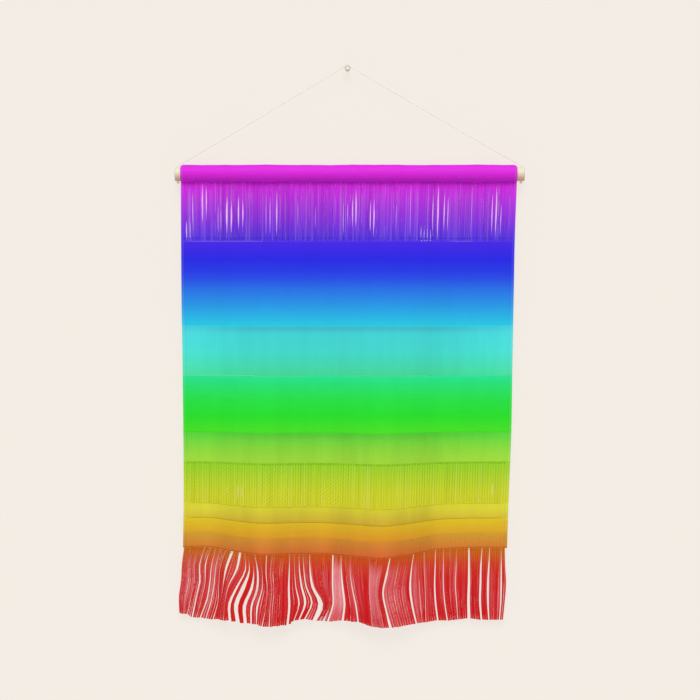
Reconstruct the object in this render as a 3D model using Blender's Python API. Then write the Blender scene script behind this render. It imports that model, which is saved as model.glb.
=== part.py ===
"""Textile wall hanging: a woven cloth with a rod pocket on a dowel, hung by a string from a wall peg.

Metres, with +Z up and +X to the viewer's right. The origin is the centre of the peg's back face,
on the wall, which is the plane y = 0. The viewer stands at -Y. Tables are in millimetres.
"""

import math
from collections import namedtuple

import bmesh
import bpy
import numpy as np
from mathutils import Matrix

MM = 0.001

# Round parts are shaded smooth where their faces meet at less than this, in degrees
SHARP_ABOVE = 40

# Peg: a straight shank, a round head with eased edges, and a shallow dish in its face
PEG_SHANK_RADIUS = 2.3
PEG_HEAD_RADIUS = 3.25
PEG_HEAD_BACK = 11.5
PEG_LENGTH = 14.0
PEG_BACK_EDGE = 0.3
PEG_FRONT_EDGE = 0.9
PEG_EDGE_STEPS = 2
PEG_DISH_RADIUS = 1.3
PEG_DISH_DEPTH = 0.5
PEG_SIDES = 24

# Dowel, and the depth at which everything hangs in front of the wall
HANG_Y = -10.5
DOWEL_RADIUS = 8.0
DOWEL_LEFT = -195.5
DOWEL_RIGHT = 200.4
DOWEL_Z = -120.3
DOWEL_EDGE_ROUND = 0.9
DOWEL_EDGE_STEPS = 2
DOWEL_EDGE_PROFILE = 0.5
DOWEL_SIDES = 40
STRING_HOLE_RADIUS = 0.8
STRING_HOLE_SIDES = 12
STRING_HOLE_CUT = 32.0
STRING_HOLES_X = (-192.2, 196.7)

# String and its stopper knots. A stretch of the route longer than STRING_LONG is straight.
STRING_RADIUS = 0.45
STRING_ROUNDING = 2
STRING_LONG = 30.0
STRING_BEND_STEPS = 2
STRING_LONG_STEPS = 3
KNOT_RADIUS = 1.65
KNOT_HEIGHT = 2.4
KNOT_DEPTH = 2.97
KNOT_SEGMENTS = 12
KNOT_RINGS = 7
SEAT_GAP = 0.3

# Slow waves that make the cloth and the strands uneven. The rate is in radians for each mm of the
# pocket's length, or for each strand.
Wave = namedtuple("Wave", "height rate start")

# Cloth: its edges at the dowel, its side hems, and the pocket around the dowel
CLOTH_LEFT = -189.0
CLOTH_RIGHT = 192.0
HEM_DOWN = 542.1
SIDE_HEM = 3.4
SIDE_HEM_EXTRA = 0.5
CLOTH_COLUMNS = 22
FOLD_GROWTH = 1.4
BAND_STEP = 0.8
POCKET_INNER = 8.46
POCKET_OUTER = 9.9
POCKET_SEGMENTS = 16
POCKET_END_ROUND = 0.6
POCKET_PUCKERS = (Wave(0.18, 1 / 19, 0), Wave(0.12, 1 / 7.7, 1))

# Woven bands from the pocket down: lower edge in mm below the peg, thickness, rows of faces
Band = namedtuple("Band", "name bottom thickness rows")
BANDS = (
    Band("loose violet", 195.0, 1.2, 4),
    Band("dense blue", 291.4, 1.9, 5),
    Band("sheer cyan", 349.3, 1.2, 3),
    Band("dense green", 412.8, 1.9, 3),
    Band("ribbed lime", 445.7, 1.4, 2),
    Band("loose yellow", 493.0, 1.2, 3),
    Band("pale yellow", 509.2, 1.4, 1),
    Band("dense gold", 526.2, 1.9, 1),
    Band("ribbed brown", HEM_DOWN, 1.5, 1),
)

# How far the cloth's two edges have drawn in, at shares of the way down from the pocket to the hem
Draw = namedtuple("Draw", "fall left right")
DRAWS = (
    Draw(0, 0, 0),
    Draw(0.15, 0.3, 2.3),
    Draw(0.3, 0.7, 3.5),
    Draw(0.5, 1.9, 5.0),
    Draw(0.7, 2.8, 6.4),
    Draw(0.85, 3.1, 8.9),
    Draw(1, 2.4, 11.0),
)

# Folds at the hem: where each lies across, how far it comes forward, how far it sags
Fold = namedtuple("Fold", "across forward drop")
FOLDS = (
    Fold(-189, -2, 0.9),
    Fold(-160, -5, 0.7),
    Fold(-124, 3, 5.6),
    Fold(-97, 9, 8.1),
    Fold(-60, 2, 7.9),
    Fold(-25, -4, 8.6),
    Fold(15, 6, 10.7),
    Fold(45, 11, 12.3),
    Fold(75, 5, 9),
    Fold(110, -5, 3.8),
    Fold(135, -5, 2.2),
    Fold(192, -2, 1.3),
)

# How much of its sag at the hem a fold has at shares of the way down
Sag = namedtuple("Sag", "fall share")
SAGS = (
    Sag(0, 0),
    Sag(0.5, 0.02),
    Sag(0.68, 0.12),
    Sag(0.764, 0.24),
    Sag(0.875, 0.56),
    Sag(0.955, 0.87),
    Sag(1, 1),
)

# Open slits between the loose yarns of the top band, in mm across and below the peg. The fullness
# is the power that rounds a slit's sides.
SLIT_STEPS = 5
SLIT_FULLNESS = 0.7
SLIT_CUT_DEPTH = 5.0
Slit = namedtuple("Slit", "across top bottom width")
SLITS = (
    Slit(-182.5, 172, 193, 1.5),
    Slit(-164.5, 133, 178, 1.8),
    Slit(-160.5, 136, 170, 1.5),
    Slit(-136.5, 145, 188, 2.4),
    Slit(-132, 150, 189, 2.0),
    Slit(-123.5, 145, 184, 1.6),
    Slit(-119, 150, 180, 1.5),
    Slit(-80, 139, 192, 1.5),
    Slit(6.5, 145, 182, 1.6),
    Slit(10, 137, 182, 1.8),
    Slit(27, 150, 186, 1.6),
    Slit(30.5, 148, 191, 1.7),
    Slit(98, 142, 188, 1.5),
    Slit(103.5, 133, 193, 1.9),
    Slit(110.5, 140, 186, 1.5),
    Slit(165.5, 142, 190, 1.5),
    Slit(169.5, 133, 193, 1.9),
)

# Fringe strands, and the heading strip that their roots share
STRAND_PITCH = 2.85
STRAND_THICKNESS = 1.2
STRAND_GAP = 0.4
STRAND_SEGMENTS = 5
STRAND_TRIM = 1.3
STRAND_CUTS = (Wave(0.78, 2.4, 0), Wave(0.52, 5.1, 1))
STRAND_SWINGS = (Wave(1.2, 0.35, 0),)
STRAND_CURLS = (Wave(1.5, 0.9, 0.5),)
HEADING_HEIGHT = 2.8
HEADING_THICKNESS = 1.6

# Partings between the fringe's locks: place across at the heading, at each quarter of the way down
# and at the tips, then the parting's width half way and at the tips, and the strands' length there
PARTING_PLACES = (0, 0.25, 0.5, 0.75, 1)
PARTING_WIDTHS = (0, 0.5, 1)
Parting = namedtuple("Parting", "heading high middle low tip gap_middle gap_tip length")
PARTINGS = (
    Parting(-185.5, -188, -189, -191.5, -191, 0, 0, 71),
    Parting(-162, -168, -168, -172.5, -176.5, 2.3, 2.3, 78.5),
    Parting(-155.5, -161.5, -162, -166.5, -172, 0.7, 0, 78.5),
    Parting(-149.5, -154.5, -156.5, -160, -167.5, 1.9, 1.9, 77.5),
    Parting(-144.5, -149.5, -151.5, -155, -161, 1.4, 1.4, 77.5),
    Parting(-138, -144.5, -146, -147, -152.5, 0.9, 0.9, 77),
    Parting(-130.5, -137.5, -141, -143.5, -146.5, 1.1, 0, 75),
    Parting(-121.5, -125.5, -135, -139, -140.5, 1.7, 0, 75.5),
    Parting(-116.5, -115.5, -125, -133.5, -133, 2.6, 2.6, 74.5),
    Parting(-113, -111, -118, -126, -124, 4.5, 3.4, 76.5),
    Parting(-109.5, -106, -108.5, -116.5, -115.5, 4, 3.4, 77),
    Parting(-105, -101.5, -102, -108.5, -109, 2.8, 2.8, 77),
    Parting(-98.5, -96.5, -96.5, -102, -103, 1.4, 1.7, 77),
    Parting(-91.5, -92, -90.5, -92.5, -96.5, 0.2, 1.4, 79),
    Parting(-85, -87, -85.5, -87.5, -88.5, 0.5, 1.1, 79.5),
    Parting(-65.5, -66, -66.5, -66, -68, 2.3, 3.4, 79),
    Parting(-60.5, -60, -58.5, -55, -61, 0.9, 1.7, 73.5),
    Parting(-55, -54.5, -52, -48, -55, 2.8, 2.8, 73.5),
    Parting(-50.5, -49.5, -47, -40.5, -48.5, 2, 2, 72),
    Parting(-43, -42.5, -39.5, -30.5, -36, 4.5, 6.8, 74),
    Parting(-16.5, -17, -17, -16.5, -22.5, 2.3, 2.3, 74.5),
    Parting(-7.5, -7, -5.5, -3.5, -5.5, 2.3, 2.3, 72),
    Parting(3, 3, 5.5, 9.5, 12, 1.7, 1.7, 72.5),
    Parting(25, 24.5, 24.5, 26, 28, 0.9, 1.1, 76),
    Parting(48, 44, 40, 43.5, 48.5, 1.7, 3.4, 76.5),
    Parting(75, 72, 71, 73.5, 78, 2.3, 2.3, 77),
    Parting(87, 87, 88, 88.5, 89, 0.6, 0.6, 78),
    Parting(100, 99.5, 99, 100, 102.5, 2, 2, 78),
    Parting(109, 109, 109, 110.5, 113.5, 1.4, 1.4, 78.5),
    Parting(124, 123.5, 122.5, 124, 125.5, 1.1, 1.1, 77.5),
    Parting(138, 138, 138, 137.5, 138, 2.8, 4, 77),
    Parting(153, 151.5, 151, 150.5, 152, 2.8, 2.8, 78.5),
    Parting(161.5, 160.5, 159.5, 159.5, 160.5, 2.5, 2.5, 78.5),
    Parting(174.5, 174.5, 174.5, 174, 172.5, 2.3, 2.3, 78.5),
    Parting(178.5, 179, 180, 178.5, 176.5, 0, 0, 78.5),
)

# Route of the string as (across, up) from the left knot, over the peg, to the right knot
STRING_ROUTE = (
    (-192.2, -128.2),
    (-192.2, -124.0),
    (-192.2, -118.0),
    (-192.2, -112.8),
    (-191.8, -110.9),
    (-190.8, -109.8),
    (-187.0, -107.6),
    (-160.0, -91.9),
    (-120.0, -68.4),
    (-80.0, -44.6),
    (-40.0, -20.6),
    (-12.0, -3.7),
    (-3.8, 1.2),
    (-1.7, 2.5),
    (0.0, 3.05),
    (1.7, 2.5),
    (3.8, 1.2),
    (12.0, -3.6),
    (40.0, -20.1),
    (80.0, -43.5),
    (120.0, -66.9),
    (160.0, -89.9),
    (191.5, -107.8),
    (195.3, -109.9),
    (196.3, -111.0),
    (196.7, -112.9),
    (196.7, -118.0),
    (196.7, -124.0),
    (196.7, -128.2),
)

# Plain look of each sub-part
Look = namedtuple("Look", "color roughness")
LOOKS = {
    "wall_peg": Look((0.80, 0.74, 0.66), 0.5),
    "dowel": Look((0.80, 0.66, 0.46), 0.55),
    "cloth": Look((0.03, 0.55, 0.85), 0.85),
    "fringe": Look((0.75, 0.02, 0.03), 0.85),
    "hanging_string": Look((0.78, 0.77, 0.74), 0.8),
    "string_knot_left": Look((0.62, 0.62, 0.58), 0.8),
    "string_knot_right": Look((0.62, 0.62, 0.58), 0.8),
}


def clear_scene():
    for obj in list(bpy.data.objects):
        bpy.data.objects.remove(obj, do_unlink=True)


def make_material(name):
    material = bpy.data.materials.new(name)
    material.use_nodes = True
    shader = material.node_tree.nodes["Principled BSDF"]
    shader.inputs["Base Color"].default_value = (*LOOKS[name].color, 1.0)
    shader.inputs["Roughness"].default_value = LOOKS[name].roughness
    return material


def add_object(name, data):
    """A sub-part with its own material."""
    data.materials.append(make_material(name))
    obj = bpy.data.objects.new(name, data)
    bpy.context.scene.collection.objects.link(obj)
    return obj


def cut_away(obj, name, mesh):
    """Cuts a hidden shape out of an object."""
    cutter = bpy.data.objects.new(f"{name}_cutter", mesh)
    bpy.context.scene.collection.objects.link(cutter)
    cutter.hide_render = True
    cutter.display_type = "WIRE"
    cut = obj.modifiers.new(name, "BOOLEAN")
    cut.operation = "DIFFERENCE"
    cut.solver = "EXACT"
    cut.object = cutter


def closed_mesh(name, points, faces):
    """A mesh from points in mm, with its faces turned outwards."""
    mesh = bpy.data.meshes.new(name)
    mesh.from_pydata([tuple(c * MM for c in point) for point in points], [], faces)
    shape = bmesh.new()
    shape.from_mesh(mesh)
    bmesh.ops.recalc_face_normals(shape, faces=shape.faces)
    shape.to_mesh(mesh)
    shape.free()
    return mesh


def finished_mesh(name, shape):
    """A mesh with the shape's faces. The shape itself is freed."""
    mesh = bpy.data.meshes.new(name)
    shape.to_mesh(mesh)
    shape.free()
    return mesh


def shade(mesh):
    mesh.shade_smooth()
    mesh.set_sharp_from_angle(angle=math.radians(SHARP_ABOVE))


def waves(table, at):
    """The sum of a table's waves."""
    return sum(wave.height * math.sin(wave.rate * at + wave.start) for wave in table)


def smooth(knots, values, at):
    """The curve through the knots whose slope at each one is that of its neighbours."""
    knots = np.asarray(knots, float)
    values = np.asarray(values, float)
    slopes = np.gradient(values, knots)
    i = np.clip(np.searchsorted(knots, at) - 1, 0, len(knots) - 2)
    step = knots[i + 1] - knots[i]
    u = (at - knots[i]) / step
    rise = values[i + 1] - values[i]
    bend = (1 - u) * (slopes[i] * step - rise) - u * (slopes[i + 1] * step - rise)
    return values[i] + u * rise + u * (1 - u) * bend


def fold_forward(across):
    return float(smooth([f.across for f in FOLDS], [f.forward for f in FOLDS], across))


def fold_drop(across):
    return max(0.0, float(smooth([f.across for f in FOLDS], [f.drop for f in FOLDS], across)))


def sagged(fall):
    """The share of a fold's sag that shows at a share of the way down."""
    return float(smooth([sag.fall for sag in SAGS], [sag.share for sag in SAGS], fall))


def drawn_in(fall):
    """How far the left and the right edge have drawn in at a share of the way down."""
    falls = [draw.fall for draw in DRAWS]
    left = float(smooth(falls, [draw.left for draw in DRAWS], fall))
    right = float(smooth(falls, [draw.right for draw in DRAWS], fall))
    return left, right


def hang(across, down):
    """Where the cloth's middle surface lies: (x, y, z) in mm for a place across and below the peg."""
    pocket_bottom = -DOWEL_Z + POCKET_OUTER
    fall = max(0.0, (down - pocket_bottom) / (HEM_DOWN - pocket_bottom))
    share = (across - CLOTH_LEFT) / (CLOTH_RIGHT - CLOTH_LEFT)
    left, right = drawn_in(fall)
    x = across + left * (1 - share) - right * share
    y = HANG_Y - fold_forward(across) * fall**FOLD_GROWTH
    z = -down - fold_drop(across) * sagged(fall)
    return x, y, z


def cloth_columns():
    """Places across the cloth, with two beside each edge for the side hem."""
    left = [CLOTH_LEFT, CLOTH_LEFT + SIDE_HEM]
    right = [CLOTH_RIGHT - SIDE_HEM, CLOTH_RIGHT]
    inner_left = left[-1] + BAND_STEP
    inner_right = right[0] - BAND_STEP
    return left + list(np.linspace(inner_left, inner_right, CLOTH_COLUMNS)) + right


def cloth_rows():
    """(mm below the peg, thickness) down the panel, with a small step between bands."""
    rows = []
    top = -DOWEL_Z + POCKET_OUTER
    for index, band in enumerate(BANDS):
        start = top + (BAND_STEP / 2 if index else 0)
        last = index == len(BANDS) - 1
        stop = band.bottom - (0 if last else BAND_STEP / 2)
        rows += [(down, band.thickness) for down in np.linspace(start, stop, band.rows + 1)]
        top = band.bottom
    return rows[1:]


def pocket_radius(across):
    """The pocket's outer radius, slightly puckered along its length and rounded at its ends."""
    from_end = min(across - CLOTH_LEFT, CLOTH_RIGHT - across)
    end = POCKET_END_ROUND * max(0.0, 1 - from_end / SIDE_HEM)
    return POCKET_OUTER + waves(POCKET_PUCKERS, across) - end


def pocket_ring(across, radius, angles):
    """Points round the dowel, from straight below it."""
    return [
        (across, HANG_Y - radius * math.sin(angle), DOWEL_Z - radius * math.cos(angle))
        for angle in angles
    ]


def cloth_section(across, rows):
    """Outer and inner loops of the cloth's upright section, as lists of (x, y, z)."""
    from_end = min(across - CLOTH_LEFT, CLOTH_RIGHT - across)
    extra = SIDE_HEM_EXTRA if from_end <= SIDE_HEM else 0.0
    front, back = [], []
    for down, thickness in reversed(rows):
        x, y, z = hang(across, down)
        half = (thickness + extra) / 2
        front.append((x, y - half, z))
        back.append((x, y + half, z))
    radius = pocket_radius(across)
    joint = math.asin((BANDS[0].thickness + extra) / 2 / radius)
    angles = np.linspace(joint, 2 * math.pi - joint, POCKET_SEGMENTS + 1)
    outer = front + pocket_ring(across, radius, angles) + back[::-1]
    return outer, pocket_ring(across, POCKET_INNER, angles)


def cloth_end(first, n_tail, n_outer, n_inner):
    """Faces that close one side edge: the panel's strip, then the pocket's ring."""
    faces = []
    for k in range(n_tail):
        mirror = n_outer - 1 - k
        faces.append((first + k, first + k + 1, first + mirror - 1, first + mirror))
    for k in range(n_inner):
        after = (k + 1) % n_inner
        corners = (n_tail + k, n_tail + after, n_outer + after, n_outer + k)
        faces.append(tuple(first + corner for corner in corners))
    return faces


def cloth_mesh():
    """One closed body: the panel and the pocket, joined section by section."""
    rows = cloth_rows()
    columns = cloth_columns()
    points, faces = [], []
    for across in columns:
        outer, inner = cloth_section(across, rows)
        points += outer + inner
    n_outer, n_inner = len(outer), len(inner)
    size = n_outer + n_inner
    for column in range(len(columns) - 1):
        here, there = column * size, (column + 1) * size
        for start, count in ((0, n_outer), (n_outer, n_inner)):
            for k in range(count):
                a, b = start + k, start + (k + 1) % count
                faces.append((here + a, here + b, there + b, there + a))
    for first in (0, (len(columns) - 1) * size):
        faces += cloth_end(first, len(rows), n_outer, n_inner)
    return closed_mesh("cloth", points, faces)


def slit_outline(slit):
    """The slit's lens shape, as (mm to its side, share of the way down)."""
    shares = [k / SLIT_STEPS for k in range(SLIT_STEPS + 1)]
    half = [slit.width / 2 * math.sin(math.pi * share) ** SLIT_FULLNESS for share in shares]
    left = [(-aside, share) for aside, share in zip(half, shares)]
    right = [(aside, share) for aside, share in zip(half, shares)]
    return left + right[-2:0:-1]


def slits_mesh():
    """Lens-shaped prisms, one for each open slit of the top band."""
    points, faces = [], []
    for slit in SLITS:
        first = len(points)
        outline = slit_outline(slit)
        n = len(outline)
        for y in (HANG_Y - SLIT_CUT_DEPTH, HANG_Y + SLIT_CUT_DEPTH):
            for aside, share in outline:
                x, _, z = hang(slit.across, slit.top + share * (slit.bottom - slit.top))
                points.append((x + aside, y, z))
        for k in range(n):
            after = (k + 1) % n
            faces.append((first + k, first + after, first + n + after, first + n + k))
        faces.append(tuple(first + k for k in range(n)))
        faces.append(tuple(first + n + k for k in reversed(range(n))))
    return closed_mesh("slits", points, faces)


def make_cloth():
    mesh = cloth_mesh()
    shade(mesh)
    cloth = add_object("cloth", mesh)
    cut_away(cloth, "slits", slits_mesh())
    return cloth


def parting_at(parting, share):
    """Where a parting lies across, and its width, at a share of the way down the fringe."""
    places = (parting.heading, parting.high, parting.middle, parting.low, parting.tip)
    x = float(smooth(PARTING_PLACES, places, share))
    gap = float(np.interp(share, PARTING_WIDTHS, (0, parting.gap_middle, parting.gap_tip)))
    return x, gap


def strand_plan():
    """(left parting, right parting, first share, last share) for every strand of every lock."""
    plan = []
    for left, right in zip(PARTINGS, PARTINGS[1:]):
        count = max(1, round((right.heading - left.heading) / STRAND_PITCH))
        for k in range(count):
            plan.append((left, right, k / count, (k + 1) / count))
    return plan


def strand_edges(strand, share):
    """The two sides of a strand, across, at a share of the way down."""
    left, right, first, last = strand
    left_x, left_gap = parting_at(left, share)
    right_x, right_gap = parting_at(right, share)
    low, high = left_x + left_gap / 2, right_x - right_gap / 2
    return low + (high - low) * first + STRAND_GAP / 2, low + (high - low) * last - STRAND_GAP / 2


def strand_length(strand, index):
    """A strand's length: its lock's, cut slightly uneven from strand to strand."""
    left, right, first, last = strand
    middle = (first + last) / 2
    length = left.length * (1 - middle) + right.length * middle
    return length + waves(STRAND_CUTS, index) - STRAND_TRIM


def strand_sway(index, share):
    """How far a strand swings forward on its way down: a slow wave and a slight curl at the tip."""
    return share * (waves(STRAND_SWINGS, index) + share * waves(STRAND_CURLS, index))


def heading_point(x, side, drop, hem):
    """A point of the heading strip, which follows the cloth's edge from column to column."""
    hem_x, hem_y, hem_z = hem
    y = float(np.interp(x, hem_x, hem_y))
    z = float(np.interp(x, hem_x, hem_z))
    return x, y + side * HEADING_THICKNESS / 2, z - SEAT_GAP - drop


def heading_shape(plan):
    """Points and faces of the heading strip, its lower face left open at every strand's root.

    Each station across has four points: the upper two, then the lower two, front before back.
    """
    stations = [x for strand in plan for x in strand_edges(strand, 0)]
    hem = list(zip(*(hang(across, HEM_DOWN) for across in cloth_columns())))
    points, faces = [], []
    for x in stations:
        for drop in (0, HEADING_HEIGHT):
            points += [heading_point(x, side, drop, hem) for side in (-1, 1)]
    for k in range(len(stations) - 1):
        here, there = 4 * k, 4 * k + 4
        faces.append((here, here + 1, there + 1, there))
        faces.append((here, here + 2, there + 2, there))
        faces.append((here + 1, here + 3, there + 3, there + 1))
        if k % 2:
            faces.append((here + 2, here + 3, there + 3, there + 2))
    last = 4 * (len(stations) - 1)
    faces.append((0, 1, 3, 2))
    faces.append((last, last + 1, last + 3, last + 2))
    return points, faces


def add_strand(strand, index, points, faces):
    """Runs one four-sided strand down from its root, between two stations of the heading."""
    left_station = 8 * index
    right_station = left_station + 4
    ring = (left_station + 2, right_station + 2, right_station + 3, left_station + 3)
    start_y = (points[ring[0]][1] + points[ring[2]][1]) / 2
    start_z = points[ring[0]][2]
    length = strand_length(strand, index)
    for step in range(1, STRAND_SEGMENTS + 1):
        share = step / STRAND_SEGMENTS
        left, right = strand_edges(strand, share)
        y = start_y - strand_sway(index, share)
        z = start_z - length * share
        front, back = y - STRAND_THICKNESS / 2, y + STRAND_THICKNESS / 2
        first = len(points)
        points += [(left, front, z), (right, front, z), (right, back, z), (left, back, z)]
        below = tuple(range(first, first + 4))
        for side in range(4):
            after = (side + 1) % 4
            faces.append((ring[side], ring[after], below[after], below[side]))
        ring = below
    faces.append(ring)


def make_fringe():
    """One closed body: a heading strip whose lower face runs on into the strands."""
    plan = strand_plan()
    points, faces = heading_shape(plan)
    for index, strand in enumerate(plan):
        add_strand(strand, index, points, faces)
    return add_object("fringe", closed_mesh("fringe", points, faces))


def cylinder(radius, length, sides, turn, place):
    """A closed cylinder in mm, turned and then placed."""
    shape = bmesh.new()
    bmesh.ops.create_cone(
        shape,
        cap_ends=True,
        segments=sides,
        radius1=radius * MM,
        radius2=radius * MM,
        depth=length * MM,
    )
    bmesh.ops.transform(shape, matrix=turn, verts=shape.verts)
    bmesh.ops.translate(shape, vec=[c * MM for c in place], verts=shape.verts)
    return shape


def make_dowel():
    """A straight rod with eased ends, and a hole for the string through each end."""
    middle = ((DOWEL_LEFT + DOWEL_RIGHT) / 2, HANG_Y, DOWEL_Z)
    along_x = Matrix.Rotation(math.radians(90), 4, "Y")
    shape = cylinder(DOWEL_RADIUS, DOWEL_RIGHT - DOWEL_LEFT, DOWEL_SIDES, along_x, middle)
    rims = [e for e in shape.edges if abs(e.verts[0].co.x - e.verts[1].co.x) < DOWEL_RADIUS * MM]
    bmesh.ops.bevel(
        shape,
        geom=rims,
        offset=DOWEL_EDGE_ROUND * MM,
        segments=DOWEL_EDGE_STEPS,
        profile=DOWEL_EDGE_PROFILE,
        affect="EDGES",
    )
    mesh = finished_mesh("dowel", shape)
    shade(mesh)
    dowel = add_object("dowel", mesh)
    upright = Matrix.Identity(4)
    for side, x in zip(("left", "right"), STRING_HOLES_X):
        place = (x, HANG_Y, DOWEL_Z)
        hole = cylinder(STRING_HOLE_RADIUS, STRING_HOLE_CUT, STRING_HOLE_SIDES, upright, place)
        cut_away(dowel, f"{side}_hole", finished_mesh("hole", hole))
    return dowel


def string_points():
    """Points read off the smooth route: close together at the bends, wider along the straights."""
    lengths = [0.0]
    for (x0, z0), (x1, z1) in zip(STRING_ROUTE, STRING_ROUTE[1:]):
        lengths.append(lengths[-1] + math.hypot(x1 - x0, z1 - z0))
    marks = []
    for start, stop in zip(lengths, lengths[1:]):
        steps = STRING_LONG_STEPS if stop - start > STRING_LONG else STRING_BEND_STEPS
        marks += [start + (stop - start) * k / steps for k in range(steps)]
    marks.append(lengths[-1])
    across = smooth(lengths, [x for x, _ in STRING_ROUTE], np.array(marks))
    up = smooth(lengths, [z for _, z in STRING_ROUTE], np.array(marks))
    return list(zip(across, up))


def make_string():
    curve = bpy.data.curves.new("hanging_string", "CURVE")
    curve.dimensions = "3D"
    curve.bevel_depth = STRING_RADIUS * MM
    curve.bevel_resolution = STRING_ROUNDING
    curve.use_fill_caps = True
    points = string_points()
    spline = curve.splines.new("POLY")
    spline.points.add(len(points) - 1)
    for point, (x, z) in zip(spline.points, points):
        point.co = (x * MM, HANG_Y * MM, z * MM, 1.0)
    return add_object("hanging_string", curve)


def make_knot(side, x):
    """A small round stopper knot, flattened, seated under the dowel."""
    shape = bmesh.new()
    bmesh.ops.create_uvsphere(
        shape, u_segments=KNOT_SEGMENTS, v_segments=KNOT_RINGS, radius=KNOT_RADIUS * MM
    )
    width = 2 * KNOT_RADIUS
    flat = Matrix.Diagonal((1, KNOT_DEPTH / width, KNOT_HEIGHT / width, 1))
    bmesh.ops.transform(shape, matrix=flat, verts=shape.verts)
    z = DOWEL_Z - DOWEL_RADIUS - SEAT_GAP - KNOT_HEIGHT / 2
    bmesh.ops.translate(shape, vec=(x * MM, HANG_Y * MM, z * MM), verts=shape.verts)
    mesh = finished_mesh(f"string_knot_{side}", shape)
    mesh.shade_smooth()
    return add_object(f"string_knot_{side}", mesh)


def peg_outline():
    """(distance from the wall, radius) up the shank, round the head's edges and into its dish."""
    outline = [
        (0, PEG_SHANK_RADIUS),
        (PEG_HEAD_BACK, PEG_SHANK_RADIUS),
        (PEG_HEAD_BACK, PEG_HEAD_RADIUS - PEG_BACK_EDGE),
        (PEG_HEAD_BACK + PEG_BACK_EDGE, PEG_HEAD_RADIUS),
    ]
    for step in range(PEG_EDGE_STEPS + 1):
        turn = math.pi / 2 * step / PEG_EDGE_STEPS
        out = PEG_LENGTH - PEG_FRONT_EDGE * (1 - math.sin(turn))
        outline.append((out, PEG_HEAD_RADIUS - PEG_FRONT_EDGE * (1 - math.cos(turn))))
    outline.append((PEG_LENGTH - PEG_DISH_DEPTH, PEG_DISH_RADIUS))
    return outline


def make_peg():
    """A turned peg: a straight shank with a round head that has a shallow dish in its face."""
    outline = peg_outline()
    points, faces = [], []
    for out, radius in outline:
        for k in range(PEG_SIDES):
            turn = 2 * math.pi * k / PEG_SIDES
            points.append((radius * math.cos(turn), -out, radius * math.sin(turn)))
    for ring in range(len(outline) - 1):
        for k in range(PEG_SIDES):
            a, b = ring * PEG_SIDES + k, ring * PEG_SIDES + (k + 1) % PEG_SIDES
            faces.append((a, b, b + PEG_SIDES, a + PEG_SIDES))
    faces.append(tuple(range(PEG_SIDES)))
    faces.append(tuple(range(len(points) - PEG_SIDES, len(points))))
    mesh = closed_mesh("wall_peg", points, faces)
    shade(mesh)
    return add_object("wall_peg", mesh)


clear_scene()
make_peg()
make_dowel()
make_cloth()
make_fringe()
make_string()
for knot_side, knot_x in zip(("left", "right"), STRING_HOLES_X):
    make_knot(knot_side, knot_x)
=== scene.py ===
"""Looks of the textile wall hanging: woven cloth on a dowel, hung by a string from a wall peg."""

import colorsys
import math

import bpy
import numpy as np
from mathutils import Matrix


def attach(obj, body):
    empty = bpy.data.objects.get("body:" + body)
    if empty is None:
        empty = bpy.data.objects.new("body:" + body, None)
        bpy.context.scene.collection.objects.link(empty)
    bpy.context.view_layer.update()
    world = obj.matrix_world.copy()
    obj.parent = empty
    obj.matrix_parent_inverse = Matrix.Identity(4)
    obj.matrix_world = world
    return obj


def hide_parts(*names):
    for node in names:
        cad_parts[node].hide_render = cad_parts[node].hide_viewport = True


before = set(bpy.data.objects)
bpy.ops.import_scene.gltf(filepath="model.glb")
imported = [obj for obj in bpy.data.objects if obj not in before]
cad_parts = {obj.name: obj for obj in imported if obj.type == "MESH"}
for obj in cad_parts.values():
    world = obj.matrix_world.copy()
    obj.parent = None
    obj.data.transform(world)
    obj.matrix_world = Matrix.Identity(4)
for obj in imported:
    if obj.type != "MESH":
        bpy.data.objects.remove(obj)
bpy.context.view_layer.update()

# View: the camera stands level, two metres in front of the hanging,
# and looks straight at it as the photograph does.
HANG_DEPTH = -0.0105
EYE_DISTANCE = 2.0
PICTURE_WIDTH = 0.7938
PICTURE_MIDDLE = (0.0028, -0.3198)
SENSOR_WIDTH = 36.0

camera_data = bpy.data.cameras.new("camera")
camera_data.sensor_width = SENSOR_WIDTH
camera_data.lens = SENSOR_WIDTH * EYE_DISTANCE / PICTURE_WIDTH
camera = bpy.data.objects.new("camera", camera_data)
camera.location = (PICTURE_MIDDLE[0], HANG_DEPTH - EYE_DISTANCE, PICTURE_MIDDLE[1])
camera.rotation_euler = (math.radians(90), 0, 0)
bpy.context.scene.collection.objects.link(camera)
bpy.context.scene.camera = camera
bpy.context.scene.view_settings.view_transform = "Standard"


# Hanging string: a thin pale twisted cord. It is knotted under one end
# of the dowel, runs up through the hole there, over the peg and down
# through the other hole to its second knot.
STRING_DIAMETER = 0.0009
STRING_SIDES = 10
STRING_STEP = 0.0028
TWIST_PITCH = 0.0021
# Cords and stitches are shaded smooth where their faces meet at less than this, in degrees
CORD_SMOOTH = 60
# Route in the plane of the hanging: (across, up) in metres
STRING_ROUTE = (
    (-0.1922, -0.1282),
    (-0.1922, -0.1240),
    (-0.1922, -0.1180),
    (-0.1922, -0.1128),
    (-0.1918, -0.1109),
    (-0.1908, -0.1098),
    (-0.1870, -0.1076),
    (-0.1600, -0.0919),
    (-0.1200, -0.0684),
    (-0.0800, -0.0446),
    (-0.0400, -0.0206),
    (-0.0120, -0.0037),
    (-0.0038, 0.0012),
    (-0.0017, 0.0025),
    (0.0000, 0.00305),
    (0.0017, 0.0025),
    (0.0038, 0.0012),
    (0.0120, -0.0036),
    (0.0400, -0.0201),
    (0.0800, -0.0435),
    (0.1200, -0.0669),
    (0.1600, -0.0899),
    (0.1915, -0.1078),
    (0.1953, -0.1099),
    (0.1963, -0.1110),
    (0.1967, -0.1129),
    (0.1967, -0.1180),
    (0.1967, -0.1240),
    (0.1967, -0.1282),
)


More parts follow.
